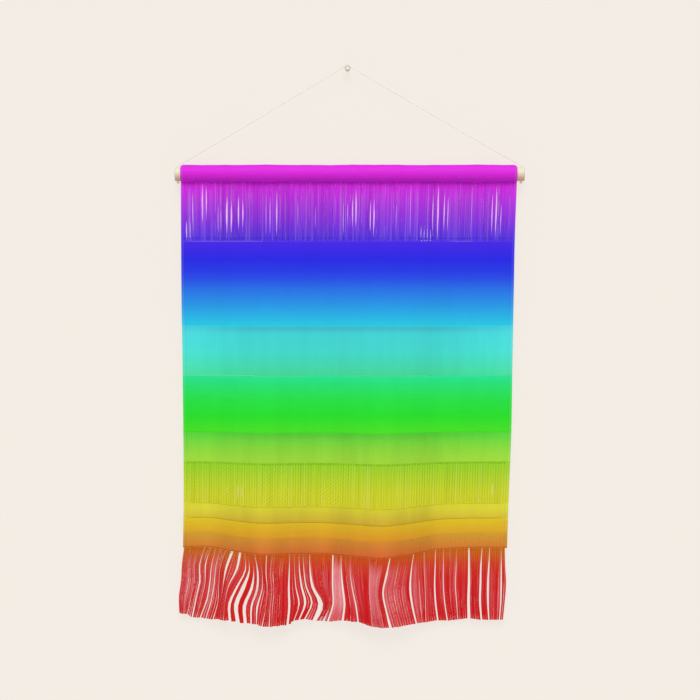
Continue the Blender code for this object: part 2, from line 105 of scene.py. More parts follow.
class Pattern:
    """One value of a material's pattern. A sum on it adds Math nodes."""

    def __init__(self, tree, socket=None):
        self.tree = tree
        self.socket = socket

    def feed(self, socket, value):
        """Links a pattern to a node's socket, or gives the socket a plain value."""
        if isinstance(value, Pattern):
            self.tree.links.new(value.socket, socket)
        else:
            socket.default_value = value

    def make(self, kind, settings=None, inputs=None, output=0):
        """Adds a node: its settings come first, then the values or links of its sockets."""
        node = self.tree.nodes.new(kind)
        for name, value in (settings or {}).items():
            if name == "stops":
                self.set_stops(node.color_ramp, value)
            else:
                setattr(node, name, value)
        for name, value in (inputs or {}).items():
            self.feed(node.inputs[name], value)
        return Pattern(self.tree, node.outputs[output])

    def set_stops(self, ramp, stops):
        while len(ramp.elements) > 1:
            ramp.elements.remove(ramp.elements[-1])
        ramp.elements[0].position = stops[0][0]
        ramp.elements[0].color = (*stops[0][1], 1)
        for place, color in stops[1:]:
            ramp.elements.new(place).color = (*color, 1)

    def math(self, operation, *values):
        return self.make("ShaderNodeMath", {"operation": operation}, dict(enumerate(values)))

    def __add__(self, other):
        return self.math("ADD", self, other)

    def __sub__(self, other):
        return self.math("SUBTRACT", self, other)

    def __rsub__(self, other):
        return self.math("SUBTRACT", other, self)

    def __mul__(self, other):
        return self.math("MULTIPLY", self, other)

    __radd__ = __add__
    __rmul__ = __mul__

    def wave(self, pitch, start=0.0):
        """Goes from 0 to 1 and back once in each pitch."""
        turn = self * (2 * math.pi / pitch) + start
        return self.math("SINE", turn) * 0.5 + 0.5

    def step(self, low, high):
        """Rises smoothly from 0 at low to 1 at high."""
        settings = {"interpolation_type": "SMOOTHSTEP"}
        inputs = {"Value": self, "From Min": low, "From Max": high}
        return self.make("ShaderNodeMapRange", settings, inputs)

    def mixed(self, blend, share, other):
        """A Mix node for colours: its colour sockets are found by their type."""
        node = self.tree.nodes.new("ShaderNodeMix")
        node.data_type = "RGBA"
        node.blend_type = blend
        factor = [s for s in node.inputs if s.name == "Factor" and s.type == "VALUE"][0]
        first, second = [s for s in node.inputs if s.type == "RGBA"]
        self.feed(factor, share)
        self.feed(first, self)
        self.feed(second, other if isinstance(other, Pattern) else (*other, 1))
        return Pattern(self.tree, [s for s in node.outputs if s.type == "RGBA"][0])

    def mix(self, share, other):
        """This colour with a share of the other one."""
        return self.mixed("MIX", share, other)

    def tint(self, share, other):
        """This colour multiplied by the other one, by the share given."""
        return self.mixed("MULTIPLY", share, other)


def new_material(name, specular=0.5):
    """A material with one Principled shader, and the pattern that its nodes start from."""
    material = bpy.data.materials.new(name)
    material.use_nodes = True
    shader = material.node_tree.nodes["Principled BSDF"]
    shader.inputs["Specular IOR Level"].default_value = specular
    return material, shader, Pattern(material.node_tree)


def finish(shader, color, roughness, height, depth, strength=1.0):
    """The shader's colour, its roughness, and a relief from a height that goes from 0 to 1."""
    relief = {"Height": height, "Distance": depth, "Strength": strength}
    color.feed(shader.inputs["Base Color"], color)
    color.feed(shader.inputs["Roughness"], roughness)
    color.feed(shader.inputs["Normal"], color.make("ShaderNodeBump", None, relief))


def parts_of(vector):
    """The three numbers of a vector."""
    return [vector.make("ShaderNodeSeparateXYZ", None, {0: vector}, axis) for axis in range(3)]


def linear(*shown):
    """A colour as it shows on screen, from 0 to 255, as the shader's linear values."""
    return tuple(((c / 255 + 0.055) / 1.055) ** 2.4 if c > 10 else c / 255 / 12.92 for c in shown)


def plain(start, color):
    """One plain colour for a pattern to start from."""
    flat = start.make("ShaderNodeRGB")
    flat.socket.default_value = (*color, 1)
    return flat


def own_place(start):
    """Each point's own place on its piece, whole and as its three numbers."""
    place = start.make("ShaderNodeAttribute", {"attribute_name": "place"}, None, 1)
    return [place, *parts_of(place)]


def noise(place, changes, detail):
    """Soft random shades. changes is how often they vary in a metre, alike or in each direction."""
    if isinstance(changes, tuple):
        place = place.make("ShaderNodeMapping", None, {"Vector": place, "Scale": changes})
        changes = 1.0
    return place.make("ShaderNodeTexNoise", None, {"Vector": place, "Scale": changes, "Detail": detail})


def new_piece(name, shape, material, smooth_below):
    """A mesh of (points in metres, faces, own places), smooth where faces meet below the angle."""
    points, faces, places = shape
    mesh = bpy.data.meshes.new(name)
    mesh.from_pydata(np.asarray(points).tolist(), [], [tuple(face) for face in faces])
    mesh.materials.append(material)
    kept = mesh.attributes.new("place", "FLOAT_VECTOR", "POINT")
    kept.data.foreach_set("vector", np.asarray(places, np.float32).ravel())
    mesh.shade_smooth()
    mesh.set_sharp_from_angle(angle=math.radians(smooth_below))
    piece = bpy.data.objects.new(name, mesh)
    bpy.context.scene.collection.objects.link(piece)
    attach(piece, "root")
    return piece


def distances(path):
    """How far along a path each of its points lies."""
    return np.concatenate(([0], np.cumsum(np.linalg.norm(np.diff(path, axis=0), axis=1))))


def around(index):
    """The faces between neighbouring rings of points, numbered by ring and by place round it."""
    after = np.roll(index, -1, axis=-1)
    corners = (index[..., :-1, :], after[..., :-1, :], after[..., 1:, :], index[..., 1:, :])
    return np.stack(corners, axis=-1).reshape(-1, 4)


def tube(path, radius, sides):
    """Points, faces and places (along, around) of a closed tube on a path of 3-D points."""
    path = np.asarray(path, float)
    ahead = np.gradient(path, axis=0)
    ahead /= np.linalg.norm(ahead, axis=1)[:, None]
    aside = np.cross(ahead[0], (0, 1, 0.13))  # a direction that no path starts along
    turns = [2 * math.pi * k / sides for k in range(sides)]
    rings = []
    for middle, forward in zip(path, ahead):
        aside = aside - forward * (aside @ forward)
        aside /= np.linalg.norm(aside)
        other = np.cross(forward, aside)
        rings.append([middle + radius * (aside * math.cos(a) + other * math.sin(a)) for a in turns])
    points = np.array(rings).reshape(-1, 3)
    index = np.arange(len(points)).reshape(-1, sides)
    faces = [*around(index).tolist(), index[0, ::-1].tolist(), index[-1].tolist()]
    places = [(along, k / sides, 0) for along in distances(path) for k in range(sides)]
    return points, faces, places


def smooth(knots, values, at):
    """The curve through the knots whose slope at each one is that of its neighbours."""
    knots = np.asarray(knots, float)
    values = np.asarray(values, float)
    slopes = np.gradient(values, knots)
    i = np.clip(np.searchsorted(knots, at) - 1, 0, len(knots) - 2)
    step = knots[i + 1] - knots[i]
    u = (at - knots[i]) / step
    rise = values[i + 1] - values[i]
    bend = (1 - u) * (slopes[i] * step - rise) - u * (slopes[i + 1] * step - rise)
    return values[i] + u * rise + u * (1 - u) * bend


def string_path():
    """Evenly spaced points along the route."""
    route = np.array(STRING_ROUTE)
    lengths = distances(route)
    marks = np.linspace(0, lengths[-1], round(lengths[-1] / STRING_STEP) + 1)
    across = smooth(lengths, route[:, 0], marks)
    up = smooth(lengths, route[:, 1], marks)
    return [(x, HANG_DEPTH, z) for x, z in zip(across, up)]


def plies(along, around):
    """The cord's two plies, wound round each other: 1 on their backs and 0 between them."""
    return (along * (1 / TWIST_PITCH) + around * 2).wave(1.0)


def string_material():
    """Pale grey-white cotton, fluffy all over, with painted shade between the plies."""
    material, shader, start = new_material("twisted cotton", 0.2)
    place, along, around, _ = own_place(start)
    ply = plies(along, around)
    fluff = noise(place, 900.0, 3.0)
    color = plain(start, linear(242, 237, 230))
    # Painted shade: a little darker between the plies
    color = color.mix((1 - ply.step(0.0, 0.45)) * 0.1, linear(226, 220, 212))
    color = color.mix(fluff * 0.15, linear(238, 232, 224))
    finish(shader, color, 0.85, ply + fluff * 0.25, 0.0001)
    return material


string_line = string_path()
string_shape = tube(string_line, STRING_DIAMETER / 2, STRING_SIDES)
hanging_string = new_piece("hanging_string_cord", string_shape, string_material(), CORD_SMOOTH)
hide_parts("hanging_string")

# The two stopper knots: an overhand knot each, pulled tight under the dowel
KNOT_MIDDLE_Z = -0.1298
KNOT_WIDTH = 0.0033
KNOT_HEIGHT = 0.0024
KNOT_CORD_RADIUS = 0.00048
KNOT_STEPS = 96
# How far the knot's turn reaches before it is scaled to the knot's width
KNOT_SPREAD = 2.8
KNOT_PLACES = (("left", -0.1922), ("right", 0.1967))


def knot_path(x):
    """An overhand knot's closed turn, flattened to the knot's height."""
    turns = np.linspace(0, 2 * math.pi, KNOT_STEPS + 1)
    reach = KNOT_WIDTH / 2 - KNOT_CORD_RADIUS
    across = (np.sin(turns) + 2 * np.sin(2 * turns)) / KNOT_SPREAD * reach
    deep = (np.cos(turns) - 2 * np.cos(2 * turns)) / KNOT_SPREAD * reach * 0.9
    up = -np.sin(3 * turns) * (KNOT_HEIGHT / 2 - KNOT_CORD_RADIUS)
    return np.stack((x + across, HANG_DEPTH + deep, KNOT_MIDDLE_Z + up), axis=1)


def knot_material():
    """The same cord, greyer between the plies as painted shade."""
    material, shader, start = new_material("knotted cotton", 0.2)
    _, along, around, _ = own_place(start)
    ply = plies(along, around)
    # Painted shade: greyer between the plies, in the grooves of the twist
    color = plain(start, linear(246, 240, 230)).mix((1 - ply) * 0.5, linear(204, 198, 188))
    finish(shader, color, 0.85, ply, 0.00015)
    return material


knot_cotton = knot_material()
for side, knot_x in KNOT_PLACES:
    knot_shape = tube(knot_path(knot_x), KNOT_CORD_RADIUS, STRING_SIDES)
    knot = new_piece(f"stopper_knot_{side}", knot_shape, knot_cotton, CORD_SMOOTH)
    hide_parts(f"string_knot_{side}")


# Room: a plain cream wall just behind the hanging, a plain pale floor
# below it, even light from all round and a broad soft light from above.
WALL_COLOR = linear(243, 236, 228)
FLOOR_COLOR = linear(232, 228, 222)
WALL_BACK = 0.0006
WALL_SPAN = 3.0
WALL_MIDDLE_Z = -0.32
WALL_SHADOW = 0.13
FLOOR_Z = -1.6
ROOM_LIGHT = 0.55
LAMP_STRENGTH = 2.0
LAMP_HEIGHT = 45.0
LAMP_WIDTH = 30.0


def wall_material():
    """Cream paint, evenly lit, which takes a faint shadow and is clear from behind."""
    material, shader, start = new_material("cream wall")
    start.tree.nodes.remove(shader)
    glow = start.make("ShaderNodeEmission", None, {"Color": (*WALL_COLOR, 1)})
    paint = start.make("ShaderNodeBsdfDiffuse", None, {"Color": (*WALL_COLOR, 1)})
    lit = start.make("ShaderNodeMixShader", None, {"Fac": WALL_SHADOW, 1: glow, 2: paint})
    behind = start.make("ShaderNodeNewGeometry", None, None, "Backfacing")
    clear = start.make("ShaderNodeBsdfTransparent")
    seen = start.make("ShaderNodeMixShader", None, {"Fac": behind, 1: lit, 2: clear})
    start.feed(start.tree.nodes["Material Output"].inputs["Surface"], seen)
    return material


def floor_material():
    """Pale, even and dull."""
    material, shader, start = new_material("pale floor")
    start.feed(shader.inputs["Base Color"], (*FLOOR_COLOR, 1))
    start.feed(shader.inputs["Roughness"], 0.7)
    return material


def plane(name, location, tilt, material):
    """One square of the room, tilted up from level by an angle in degrees."""
    bpy.ops.object.select_all(action="DESELECT")
    bpy.ops.mesh.primitive_plane_add(
        size=WALL_SPAN, location=location, rotation=(math.radians(tilt), 0, 0)
    )
    piece = bpy.context.object
    piece.name = name
    piece.data.materials.append(material)
    return piece


wall = plane("wall", (0, WALL_BACK, WALL_MIDDLE_Z), 90, wall_material())
wall.visible_diffuse = False
wall.visible_glossy = False
wall.visible_transmission = False
wall.visible_shadow = False
floor = plane("floor", (0, -WALL_SPAN / 2, FLOOR_Z), 0, floor_material())

world = bpy.data.worlds.new("room")
world.use_nodes = True
world.node_tree.nodes["Background"].inputs["Color"].default_value = (1, 1, 1, 1)
world.node_tree.nodes["Background"].inputs["Strength"].default_value = ROOM_LIGHT
bpy.context.scene.world = world

lamp_data = bpy.data.lights.new("soft lamp", "SUN")
lamp_data.energy = LAMP_STRENGTH
lamp_data.angle = math.radians(LAMP_WIDTH)
lamp = bpy.data.objects.new("soft lamp", lamp_data)
lamp.rotation_euler = (math.radians(90 - LAMP_HEIGHT), 0, 0)
bpy.context.scene.collection.objects.link(lamp)


# Wall peg: a small turned beech peg with a shallow dish in the face of
# its head. Its shank is pushed into the wall and the string lies on it.
PEG_LIGHT = linear(236, 227, 215)
PEG_DARK = linear(205, 194, 180)
PEG_GRAIN = linear(196, 180, 158)
PEG_RIM = (0.0014, 0.0030)
PEG_RING_PITCH = 0.0005


def peg_material():
    """Pale lacquered wood: a darker rim, turning rings and a little end grain."""
    material, shader, start = new_material("turned peg wood", 0.35)
    spot = start.make("ShaderNodeTexCoord", None, None, 3)
    x, _, z = parts_of(spot)
    out = start.math("SQRT", x * x + z * z)
    grain = noise(spot, 1400.0, 4.0)
    color = plain(start, PEG_LIGHT).mix(out.step(*PEG_RIM) * 0.9, PEG_DARK).mix(grain * 0.3, PEG_GRAIN)
    finish(shader, color, 0.38 + grain * 0.2, out.wave(PEG_RING_PITCH) * 0.4 + grain, 0.00006)
    return material


def dress(node, material):
    """Gives a CAD node its material."""
    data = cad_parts[node].data
    data.materials.clear()
    data.materials.append(material)


dress("wall_peg", peg_material())


# Dowel: a straight birch rod, its ends cut square with the edges eased.
# One hole is drilled through each end for the string.
DOWEL_MIDDLE_Z = -0.1203
DOWEL_RADIUS = 0.008
DOWEL_ENDS = (-0.1955, 0.2004)
DOWEL_END_BAND = 0.0007
BIRCH = linear(229, 222, 200)
# Underside: a warmer tan tone of the birch, darkened by painted shade from the light above
BIRCH_TONE_AND_SHADE_BELOW = linear(222, 176, 146)
BIRCH_BAND = linear(214, 188, 156)
BIRCH_GRAIN = linear(190, 158, 124)
BIRCH_END = linear(190, 160, 124)


def dowel_material():
    """Birch with long fine grain lines, end grain on the cut ends and a satin oil finish."""
    material, shader, start = new_material("birch", 0.4)
    spot = start.make("ShaderNodeTexCoord", None, None, 3)
    x, _, z = parts_of(spot)
    fibre = noise(spot, (12.0, 900.0, 900.0), 5.0)
    band = noise(spot, (6.0, 180.0, 180.0), 3.0)
    # Painted shade: the lower side of the rod turns darker and tan
    below = 1 - z.step(DOWEL_MIDDLE_Z - DOWEL_RADIUS * 0.8, DOWEL_MIDDLE_Z + DOWEL_RADIUS * 0.3)
    from_middle = start.math("ABSOLUTE", x - sum(DOWEL_ENDS) / 2)
    half_length = (DOWEL_ENDS[1] - DOWEL_ENDS[0]) / 2
    end = from_middle.step(half_length - DOWEL_END_BAND, half_length)
    color = plain(start, BIRCH).mix(below * 0.85, BIRCH_TONE_AND_SHADE_BELOW).mix(band * 0.3, BIRCH_BAND)
    color = color.mix(fibre.step(0.5, 0.75) * 0.3, BIRCH_GRAIN).mix(end * 0.5, BIRCH_END)
    finish(shader, color, 0.42 + fibre * 0.25, fibre, 0.00012)
    return material


dress("dowel", dowel_material())


# Woven cloth: one piece of polyester yarn, dyed through the rainbow
# from violet to red. Dense satin bands stand proud of thin gauze bands.
# Its sides are hemmed, and its top is sewn round the dowel as a pocket.
CLOTH_LEFT = -0.189
CLOTH_RIGHT = 0.192
HEM_DOWN = 0.5421
POCKET_INNER = 0.00846
POCKET_OUTER = 0.0098
POCKET_LIFT = 0.0007
POCKET_BOTTOM = 0.1302
POCKET_TURNS = 44
POCKET_STEP = 0.0021
# Unevenness of the pocket: heights of its broad and narrow puckers, fine creases, streaks along it
# and the seams at its ends, and how far in from the ends the seams lie and the pocket narrows
PUCKERS = (0.00018, 0.00012)
CREASE = 0.00007
STREAK = 0.00005
SEAM = 0.00022
SEAM_INWARD = 0.0030
END_LENGTH = 0.0036
SIDE_HEM = 0.0034
HEM_RAISE = 0.00022
HEM_ROUND = 0.0004
HEM_SLOPE = 0.0005
HEM_GROOVE = 0.00018
HEM_GROOVE_OFFSET = 0.0006
HEM_EDGE = 0.0006
CLOTH_SMOOTH = 40
FOLD_GROWTH = 1.4
STEEPEST_FOLD = 0.27
# How far the two edges have drawn in: share of the way from the pocket to the hem, left, right
DRAWS = (
    (0, 0, 0),
    (0.15, 0.0003, 0.0023),
    (0.3, 0.0007, 0.0035),
    (0.5, 0.0019, 0.0050),
    (0.7, 0.0028, 0.0064),
    (0.85, 0.0031, 0.0089),
    (1, 0.0024, 0.0110),
)
# Folds at the hem: place across, how far each comes forward, how far it sags
FOLDS = (
    (-0.189, -0.002, 0.0009),
    (-0.160, -0.005, 0.0007),
    (-0.124, 0.003, 0.0056),
    (-0.097, 0.009, 0.0081),
    (-0.060, 0.002, 0.0079),
    (-0.025, -0.004, 0.0086),
    (0.015, 0.006, 0.0107),
    (0.045, 0.011, 0.0123),
    (0.075, 0.005, 0.009),
    (0.110, -0.005, 0.0038),
    (0.135, -0.005, 0.0022),
    (0.192, -0.002, 0.0013),
)
# How much of its sag at the hem a fold has, by the share of the way down
SAGS = (
    (0, 0),
    (0.5, 0.02),
    (0.68, 0.12),
    (0.764, 0.24),
    (0.875, 0.56),
    (0.955, 0.87),
    (1, 1),
)
# The dye by height: metres below the peg, degrees round the colour wheel, brightness
DYE = (
    (0.108, 300, 0.86),
    (0.129, 299, 0.86),
    (0.132, 297, 0.888),
    (0.150, 287, 0.888),
    (0.168, 275, 0.888),
    (0.186, 260.5, 0.888),
    (0.195, 252.3, 0.895),
    (0.204, 247, 0.9),
    (0.2165, 240, 0.9),
    (0.231, 233.5, 0.9),
    (0.240, 227, 0.9),
    (0.268, 205.5, 0.897),
    (0.286, 193, 0.893),
    (0.299, 182, 0.888),
    (0.320, 177, 0.888),
    (0.342, 163, 0.888),
    (0.358, 146, 0.876),
    (0.376, 131, 0.874),
    (0.395, 121, 0.870),
    (0.413, 108.5, 0.874),
    (0.431, 88.5, 0.885),
    (0.442, 81, 0.888),
    (0.4536, 77.5, 0.888),
    (0.463, 71, 0.888),
    (0.481, 63, 0.888),
    (0.499, 58, 0.888),
    (0.513, 50, 0.862),
    (0.526, 43, 0.850),
    (0.545, 28, 0.866),
    (0.562, 12.5, 0.888),
    (0.578, 3, 0.888),
    (0.592, -1, 0.888),
)
DYE_SATURATION = 0.85
WHITE_YARN = (1.0, 1.0, 0.96)
# How deep and how pale the densest weaves look, and the shine of dull yarn
DENSE_DYE = (1.0, 0.006)
MATT = 0.06
# Spacing of the picks down and the ends across, in metres
SATIN_PICK = 0.0011
SATIN_END = 0.0013
GAUZE_PICK = 0.0021
GAUZE_END = 0.0024
RIB_PICK = 0.0012
RIB_END = 0.00165
# Gauze: spacing of its crossed knots, how far its painted top shadow reaches, and from where to where,
# out from the middle, it turns from darker to paler and shows its knots
GAUZE_KNOTS = 0.0048
GAUZE_SHADOW = 0.0125
GAUZE_TOWARD_ENDS = (0.095, 0.189)


def curve(table, column, at):
    """The smooth curve through one column of a table, against its first column."""
    return smooth([row[0] for row in table], [row[column] for row in table], at)


def fallen(down):
    """The share of the way from the pocket to the hem."""
    return np.maximum(0, (down - POCKET_BOTTOM) / (HEM_DOWN - POCKET_BOTTOM))


def hang(across, down):
    """Where the cloth's middle surface lies, as (x, y, z), for a place across and below the peg."""
    fall = fallen(down)
    share = (across - CLOTH_LEFT) / (CLOTH_RIGHT - CLOTH_LEFT)
    x = across + curve(DRAWS, 1, fall) * (1 - share) - curve(DRAWS, 2, fall) * share
    y = HANG_DEPTH - curve(FOLDS, 1, across) * fall**FOLD_GROWTH
    z = -down - np.maximum(0, curve(FOLDS, 2, across)) * curve(SAGS, 1, fall)
    return x, y, z


# Its value is laid on the weaves as painted shade where the folds turn aside.
def fold_shade(across, down):
    """How steeply the cloth turns aside in its folds at a place: 0 where flat, 1 at the steepest."""
    step = 0.001
    slope = (curve(FOLDS, 1, across + step) - curve(FOLDS, 1, across - step)) / (2 * step)
    return np.clip((slope * fallen(down) ** FOLD_GROWTH / STEEPEST_FOLD) ** 2, 0, 1)


def slab(across, downs, front, back):
    """A closed sheet: grids of how far its front and back stand off the middle surface."""
    nx, nz = len(across), len(downs)
    grid_x, grid_z = np.meshgrid(across, downs, indexing="ij")
    x, y, z = hang(grid_x, grid_z)
    faces_front = np.stack((x, y - front, z), axis=-1).reshape(-1, 3)
    faces_back = np.stack((x, y + back, z), axis=-1).reshape(-1, 3)
    points = np.concatenate((faces_front, faces_back))
    index = np.arange(nx * nz).reshape(nx, nz)
    a, b = index[:-1, :-1], index[1:, :-1]
    c, d = index[1:, 1:], index[:-1, 1:]
    quads = np.stack((a, d, c, b), axis=-1).reshape(-1, 4)
    behind = nx * nz
    faces = quads.tolist() + (quads[:, ::-1] + behind).tolist()
    for rim in (index[0, ::-1], index[-1, :], index[:, 0], index[::-1, -1]):
        faces += [(one, two, two + behind, one + behind) for one, two in zip(rim, rim[1:])]
    place = np.stack((grid_x, grid_z, fold_shade(grid_x, grid_z)), axis=-1).reshape(-1, 3)
    return points, faces, np.concatenate((place, place))


def from_side(across):
    """The distance from the nearer side edge of the cloth."""
    return np.minimum(across - CLOTH_LEFT, CLOTH_RIGHT - across)


def hem_relief(across):
    """The side hems' raised strip, with the groove of its fold beside it."""
    inward = from_side(across)
    raised = np.clip((SIDE_HEM - inward) / HEM_SLOPE, 0, 1) * HEM_RAISE
    rounded = HEM_ROUND * np.clip(1 - inward / HEM_EDGE, 0, 1)
    groove = HEM_GROOVE * np.exp(-(((inward - SIDE_HEM - HEM_GROOVE_OFFSET) / HEM_SLOPE) ** 2))
    return raised - rounded - groove


def columns(pitch, per_rib):
    """Places across the cloth for ribs of this pitch, with more beside the hems."""
    inner = np.arange(CLOTH_LEFT + SIDE_HEM + 0.001, CLOTH_RIGHT - SIDE_HEM - 0.001, pitch / per_rib)
    edge = np.array((0, 0.0003, 0.0006, 0.0015, 0.0028, 0.0034, 0.0039))
    return np.concatenate((CLOTH_LEFT + edge, inner, CLOTH_RIGHT - edge[::-1]))


def pocket_radius(across, turn):
    """The pocket's outer radius: puckered along its length, drawn in and hemmed at its ends."""
    pucker = PUCKERS[0] * np.sin(across / 0.019) + PUCKERS[1] * np.sin(across / 0.0077 + 1)
    crease = CREASE * np.sin(across / 0.0031 + 2.2 * np.sin(turn * 2 + across * 30))
    streak = STREAK * np.sin(turn * 19 + 3 * np.sin(across * 22))
    from_edge = from_side(across)
    seam = SEAM * np.exp(-(((from_edge - SEAM_INWARD - 0.0008 * np.cos(turn)) / 0.0005) ** 2))
    full = POCKET_OUTER + pucker + crease + streak - seam - POCKET_LIFT * np.cos(turn)
    end = np.clip(1 - from_edge / END_LENGTH, 0, 1) ** 2
    return full - 0.85 * end * (full - POCKET_INNER - 0.0003)


def pocket():
    """The tube of cloth round the dowel, with an outer and an inner wall."""
    across = columns(POCKET_STEP, 1)
    turns = np.linspace(0, 2 * math.pi, POCKET_TURNS, endpoint=False)
    grid_x, grid_t = np.meshgrid(across, turns, indexing="ij")
    outer = pocket_radius(grid_x, grid_t)
    inner = np.full_like(outer, POCKET_INNER)
    walls = []
    for radius in (outer, inner):
        y = HANG_DEPTH - radius * np.sin(grid_t)
        z = DOWEL_MIDDLE_Z - radius * np.cos(grid_t)
        walls.append(np.stack((grid_x, y, z), axis=-1).reshape(-1, 3))
    n = len(across) * POCKET_TURNS
    index = np.arange(n).reshape(len(across), POCKET_TURNS)
    quads = around(index)
    faces = quads[:, ::-1].tolist() + (quads + n).tolist()
    for ring, flip in ((index[0], False), (index[-1], True)):
        for a, b in zip(ring, np.roll(ring, -1)):
            quad = (a, b, b + n, a + n)
            faces.append(quad[::-1] if flip else quad)
    place = np.stack((grid_x, grid_t * POCKET_OUTER, np.zeros_like(grid_x)), axis=-1).reshape(-1, 3)
    return np.concatenate(walls), faces, np.concatenate((place, place))


def dye_stops():
    """The ramp's stops, from the top of the pocket to the tips of the fringe."""
    top, bottom = DYE[0][0], DYE[-1][0]
    stops = []
    for down, hue, value in DYE:
        shown = colorsys.hsv_to_rgb((hue % 360) / 360, DYE_SATURATION, value)
        stops.append(((down - top) / (bottom - top), linear(*(255 * c for c in shown))))
    return stops


def dyed(start, deep, pale):
    """The dye's colour at this height, made deeper, and paler by an even share of white."""
    spot = start.make("ShaderNodeTexCoord", None, None, 3)
    height = parts_of(spot)[2]
    top, bottom = DYE[0][0], DYE[-1][0]
    share = (height + top) * (-1 / (bottom - top))
    color = start.make("ShaderNodeValToRGB", {"stops": dye_stops()}, {"Fac": share})
    return color.tint(1.0, (deep, deep, deep)).mix(pale, WHITE_YARN)


def side_hem(across):
    """Where the side hems lie, the fold line beside them (painted shade there), and the distance from the
    middle.
    """
    from_middle = across.math("ABSOLUTE", across - (CLOTH_LEFT + CLOTH_RIGHT) / 2)
    inner = (CLOTH_RIGHT - CLOTH_LEFT) / 2 - SIDE_HEM
    strip = from_middle.step(inner, inner + 0.0003)
    fold = from_middle.step(inner - 0.0011, inner - 0.0004) * (1 - strip)
    return strip, fold, from_middle


def grey(level):
    """An even grey, to darken a colour by."""
    return (level, level, level)


def satin_material(name, specular, deepen):
    """Dense band: weft packed so close that the warp hardly shows, with a soft lustre."""
    material, shader, start = new_material(name, specular)
    place, across, down, shade = own_place(start)
    streak = noise(place, (40.0, 700.0, 1.0), 3.0)
    cloud = noise(place, (60.0, 9.0, 1.0), 2.0)
    picks, ends = down.wave(SATIN_PICK), across.wave(SATIN_END)
    strip, fold, _ = side_hem(across)
    color = dyed(start, *DENSE_DYE).tint(1.0, deepen)
    color = color.tint(streak.step(0.35, 0.8) * 0.6, grey(0.93))
    color = color.tint(cloud.step(0.3, 0.8) * 0.7, grey(0.96))
    # Painted shade between the picks and ends of the weave
    color = color.tint((1 - picks) * (1 - ends) * 0.5, grey(0.82))
    # Painted shade on the slopes of the folds
    color = color.tint(shade * 0.5, grey(0.90))
    # Painted shade in the hem's fold line
    color = color.mix(strip * 0.022, WHITE_YARN).tint(fold * 0.3, (0.80, 0.80, 0.82))
    height = picks * 0.7 + ends * 0.3 + streak * 0.3
    finish(shader, color, 0.55 + streak * 0.2, height, 0.00012, 0.6)
    return material


def gauze_material(name, deep, pale, middle, top, shadow, mesh, grid, soft):
    """Thin band, an open plain weave: darker mid-band, painted shade in its holes and under the band above.
    """
    material, shader, start = new_material(name, MATT)
    place, across, down, shade = own_place(start)
    cloud = noise(place, (90.0, 12.0, 1.0), 3.0)
    picks, ends = down.wave(GAUZE_PICK), across.wave(GAUZE_END)
    hole = (1 - picks.step(0.1, 0.6)) * (1 - ends.step(0.1, 0.6))
    strip, fold, from_middle = side_hem(across)
    toward_ends = from_middle.step(*GAUZE_TOWARD_ENDS)
    knots = (across + down).wave(GAUZE_KNOTS) * (across - down).wave(GAUZE_KNOTS)
    opened = down.step(top, top + soft)
    below = opened * (1 - down.step(top + soft, top + GAUZE_SHADOW)) * (1 - toward_ends * 0.75)
    # Darker in the middle, paler toward the ends
    color = dyed(start, deep, pale).tint(1 - toward_ends, grey(middle))
    color = dyed(start, *DENSE_DYE).mix(opened, color)
    color = color.tint(below * shadow, (0.62, 0.66, 0.68))
    color = color.tint(cloud.step(0.35, 0.75) * 0.6, (0.94, 0.96, 0.96))
    # Painted shade in the holes of the weave
    color = color.tint(hole * cloud.step(0.3, 0.65) * grid, (0.74, 0.76, 0.78))
    # Painted shade on the slopes of the folds
    color = color.tint(shade, grey(0.88))
    color = color.mix(knots.step(0.35, 0.75) * toward_ends.step(0.75, 1.0) * mesh, WHITE_YARN)
    # Painted shade in the hem's fold line
    color = color.mix(strip * 0.03, WHITE_YARN).tint(fold * 0.5, grey(0.84))
    finish(shader, color, 0.72 + cloud * 0.2, picks * 0.5 + ends * 0.5, 0.0002, grid)
    return material


def ribbed_material():
    """Ribbed band: round warp ribs close together, lit on their backs and dark between."""
    material, shader, start = new_material("ribbed weave", MATT)
    place, across, down, shade = own_place(start)
    ends = across.wave(RIB_END)
    picks = (down + across * 0.4).wave(RIB_PICK)
    cloud = noise(place, 220.0, 3.0)
    _, fold, _ = side_hem(across)
    clear = 0.3 + across.step(0.02, 0.12) * 0.25
    color = dyed(start, 0.905, 0.022).tint((1 - ends.step(0.0, 0.6)) * clear, (0.70, 0.72, 0.70))
    color = color.tint(cloud.step(0.4, 0.7) * 0.6, (0.90, 0.92, 0.90))
    # Painted shade on the folds' slopes and in the hem's fold line
    color = color.tint(shade, grey(0.88)).tint(fold * 0.5, grey(0.84))
    finish(shader, color, 0.74 + cloud * 0.15, picks, 0.00012, 0.6)
    return material


# Bands from the pocket down: weave, top and bottom in metres below the peg, front of the weave,
# pitch of its ribs, height of its ribs, how far its top is drawn back under the band above
BANDS = (
    ("satin", 0.1960, 0.2914, 0.00095, 0.0040, 0.0, 0.0),
    ("cyan gauze", 0.2908, 0.3494, 0.00082, 0.00242, 0.00006, 0.0),
    ("satin", 0.3488, 0.4128, 0.00095, 0.0040, 0.0, 0.0),
    ("lime gauze", 0.4122, 0.4463, 0.00075, 0.00242, 0.00006, 0.0001),
    ("yellow gauze", 0.4925, 0.5098, 0.00075, 0.00242, 0.00005, 0.0),
    ("satin", 0.5092, 0.5262, 0.00095, 0.0040, 0.0, 0.0),
    ("ribbed", 0.5256, HEM_DOWN, 0.00085, 0.00233, 0.00010, 0.0001),
)
ROW_STEP = 0.0045
DRAWN_BACK = 0.011


def band_rows(top, bottom):
    """Rows down a band, close together at its rounded edges."""
    edge = np.array((0, 0.0004, 0.001))
    inner = np.linspace(top + 0.003, bottom - 0.003, max(2, round((bottom - top) / ROW_STEP)))
    return np.concatenate((top + edge, inner, bottom - edge[::-1]))


